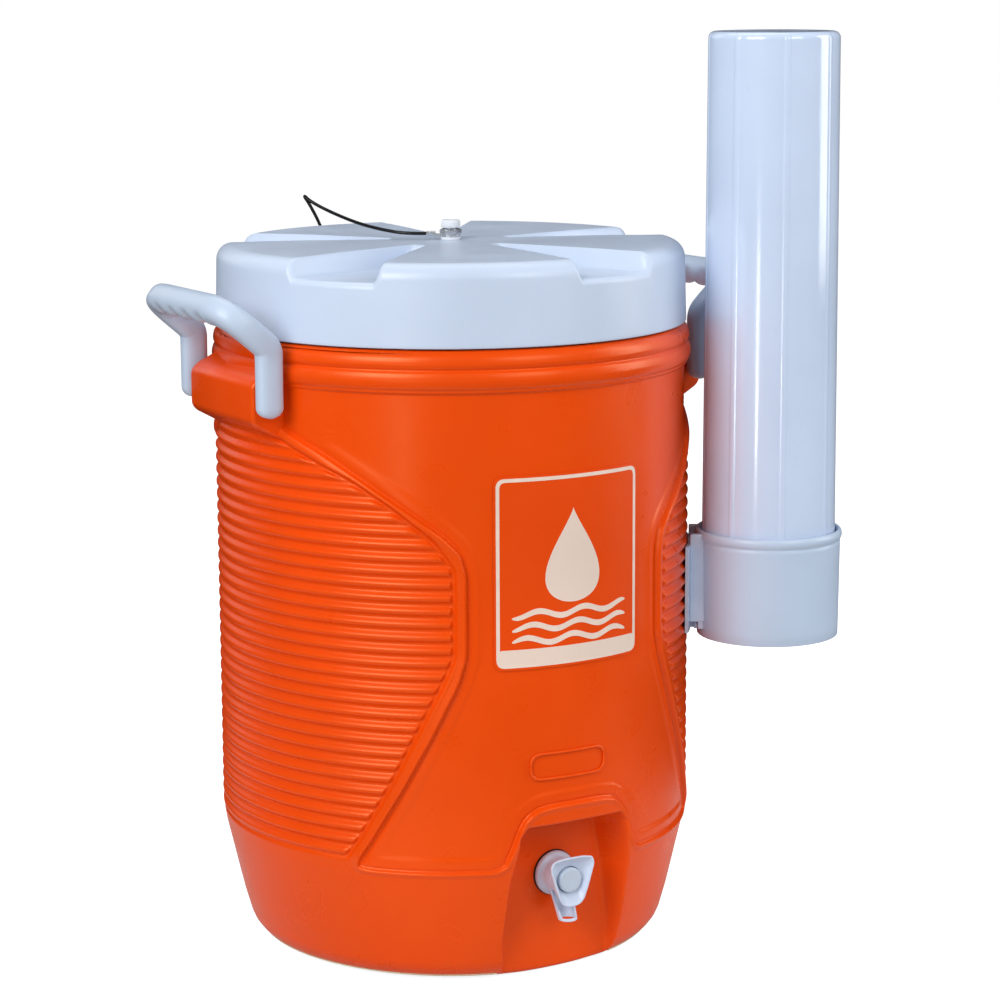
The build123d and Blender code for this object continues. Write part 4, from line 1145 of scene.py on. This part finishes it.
def collar():
    """The ring that holds the tube, and the boss that joins it to the plate on the body."""
    line = [(48.4, 207.0), (48.6, 207.3), (48.75, 215), (49.3, 270.5), (49.35, 272.6), (48.95, 273.2)]
    line += [(49.0, 274.1), (49.9, 275.0), (50.45, 276.6), (50.5, 278.2), (50.1, 279.8), (49.2, 280.8)]
    line += [(48.2, 281.0), (47.4, 280.6), (47.2, 279.6), (47.2, 209.6), (39.0, 209.6), (38.5, 209.2)]
    line += [(38.5, 207.4), (39.0, 207.0)]
    ring = lathe("collar_ring", line, CUP, around=192, sharp=50)
    finish_piece(ring, "collar", "cooler", "dispenser_plastic", "cup_collar")
    angle = CUP_ANGLE * DEG
    out = np.array([math.sin(angle), -math.cos(angle)])
    across = np.array([math.cos(angle), math.sin(angle)])

    def block(name, near, half, z0, aside=0.0):
        """A rounded box that stands out from the body towards the tube."""
        far, z1, edge = 177.0, 279.0, 0.8
        corners = [(near, aside - half), (far, aside - half), (far, aside + half), (near, aside + half)]
        plan = rounded(corners, edge, steps=4)
        middle = plan.mean(axis=0)
        size = np.abs(plan - middle).max(axis=0)
        rows = []
        for share, inset in ((0, 1), (0.35, 0.35), (1, 0)):
            line = middle + (plan - middle) * (1 - inset * edge / size)
            place = line[:, :1] * out + line[:, 1:] * across
            rows.append(np.column_stack([place, np.full(len(line), z0 + share * edge)]))
            rows.append(np.column_stack([place, np.full(len(line), z1 - share * edge)]))
        piece = rings(name, rows[::2] + rows[::-2], sharp=40)
        # Painted light: the boss takes the tube's lighter colour instead of the collar ring's, standing in
        # for the light that falls on its face.
        return finish_piece(piece, "tube", "cooler", "dispenser_plastic", "cup_collar")

    block("collar_boss_left", 163.2, 2.9, 218.0, -17.1)
    block("collar_boss_right", 163.2, 2.9, 218.0, 17.1)
    block("collar_boss_web", 168.8, 19.0, 212.5)


cup_tube()
collar()

# ---------------------------------------------------------------- CAD nodes that stay
KEPT = {
    "base_plug": "orange",
    "inner_tank": "tank",
    "wall_foam": "foam",
    "tap_inner_seal": "white_rubber",
    "tap_nut": "tap",
    "tap_retainer": "tap",
    "tap_stem": "tap",
    "tap_valve": "black_rubber",
    "lid_foam": "foam",
    "lid_liner": "tank",
    "lid_gasket": "white_rubber",
    "lid_under_nut": "steel",
    "swivel_ring": "steel",
    "back_crimp": "steel",
    "anchor_pad": "orange",
    "anchor_screw": "steel",
    "wall_plate": "tube",
    "wall_plate_screws": "steel",
    "collar_diaphragm": "white_rubber",
}
for node_name, material_name in KEPT.items():
    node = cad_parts[node_name]
    node.data.materials.clear()
    node.data.materials.append(M[material_name])
    node.data.polygons.foreach_set("use_smooth", np.ones(len(node.data.polygons), bool))
    node.data.set_sharp_from_angle(angle=math.radians(30))


# ---------------------------------------------------------------- floor and light
PAPER_HALF = 0.45


def studio():
    """A plain pale floor, a white sheet under the object that only reflections see, and soft lamps."""
    scene = bpy.context.scene
    scene.view_settings.view_transform = "Standard"
    world = bpy.data.worlds.new("studio")
    scene.world = world
    world.use_nodes = True
    tree = world.node_tree
    seen = tree.nodes["Background"]
    seen.inputs["Color"].default_value = (1.0, 1.0, 1.0, 1.0)
    seen.inputs["Strength"].default_value = 0.385
    world.cycles_visibility.glossy = False
    reach = 60.0
    sheets = (("studio_floor", reach, 0.66, 0.95), ("studio_paper", PAPER_HALF, 0.03, 0.62))
    for name, half, glow, pale in sheets:
        n = Nodes(name)
        cloud = n.between(n.noise(2.0, 2.0), 0.3, 0.7)
        white = n.blend(cloud, (pale - 0.02, pale - 0.02, pale - 0.015), (pale, pale, pale + 0.005))
        n.link(white, n.shader.inputs["Base Color"])
        n.set(Roughness=0.9, Emission_Strength=glow, Specular_IOR_Level=0.1)
        n.shader.inputs["Emission Color"].default_value = (1.0, 1.0, 1.0, 1.0)
        mesh = bpy.data.meshes.new(name)
        level = -0.0005 if half == reach else -0.0003
        corners = [(x * half, y * half, level) for x, y in ((-1, -1), (1, -1), (1, 1), (-1, 1))]
        mesh.from_pydata(corners, [], [(0, 1, 2, 3)])
        mesh.materials.append(n.material)
        sheet = bpy.data.objects.new(name, mesh)
        scene.collection.objects.link(sheet)
        if half == reach:
            sheet.visible_glossy = sheet.visible_diffuse = False
        else:
            sheet.visible_camera = sheet.visible_shadow = False
    # Each lamp as its name, place, width, height and power.
    lamps = [
        ("key_light", (-1.9, -0.9, 1.5), 1.2, 1.3, 36.0),
        ("front_light", (0.3, -2.4, 1.6), 1.0, 1.2, 15.2),
        ("side_light", (2.0, -1.0, 1.0), 0.9, 1.6, 20.0),
        ("top_light", (0.1, 0.5, 2.3), 1.6, 1.6, 9.8),
        ("rear_light", (-0.6, 2.1, 1.3), 1.2, 1.4, 4.0),
        ("strip_light", (-1.75, -1.3, 0.12), 0.14, 0.3, 1.6),
    ]
    for name, place, width, tall, power in lamps:
        data = bpy.data.lights.new(name, "AREA")
        data.shape = "RECTANGLE"
        data.size, data.size_y = width, tall
        data.energy = power
        lamp = bpy.data.objects.new(name, data)
        scene.collection.objects.link(lamp)
        lamp.location = place
        aim = Vector((0.02, -0.03, 0.28)) - Vector(place)
        lamp.rotation_euler = aim.to_track_quat("-Z", "Y").to_euler()


studio()
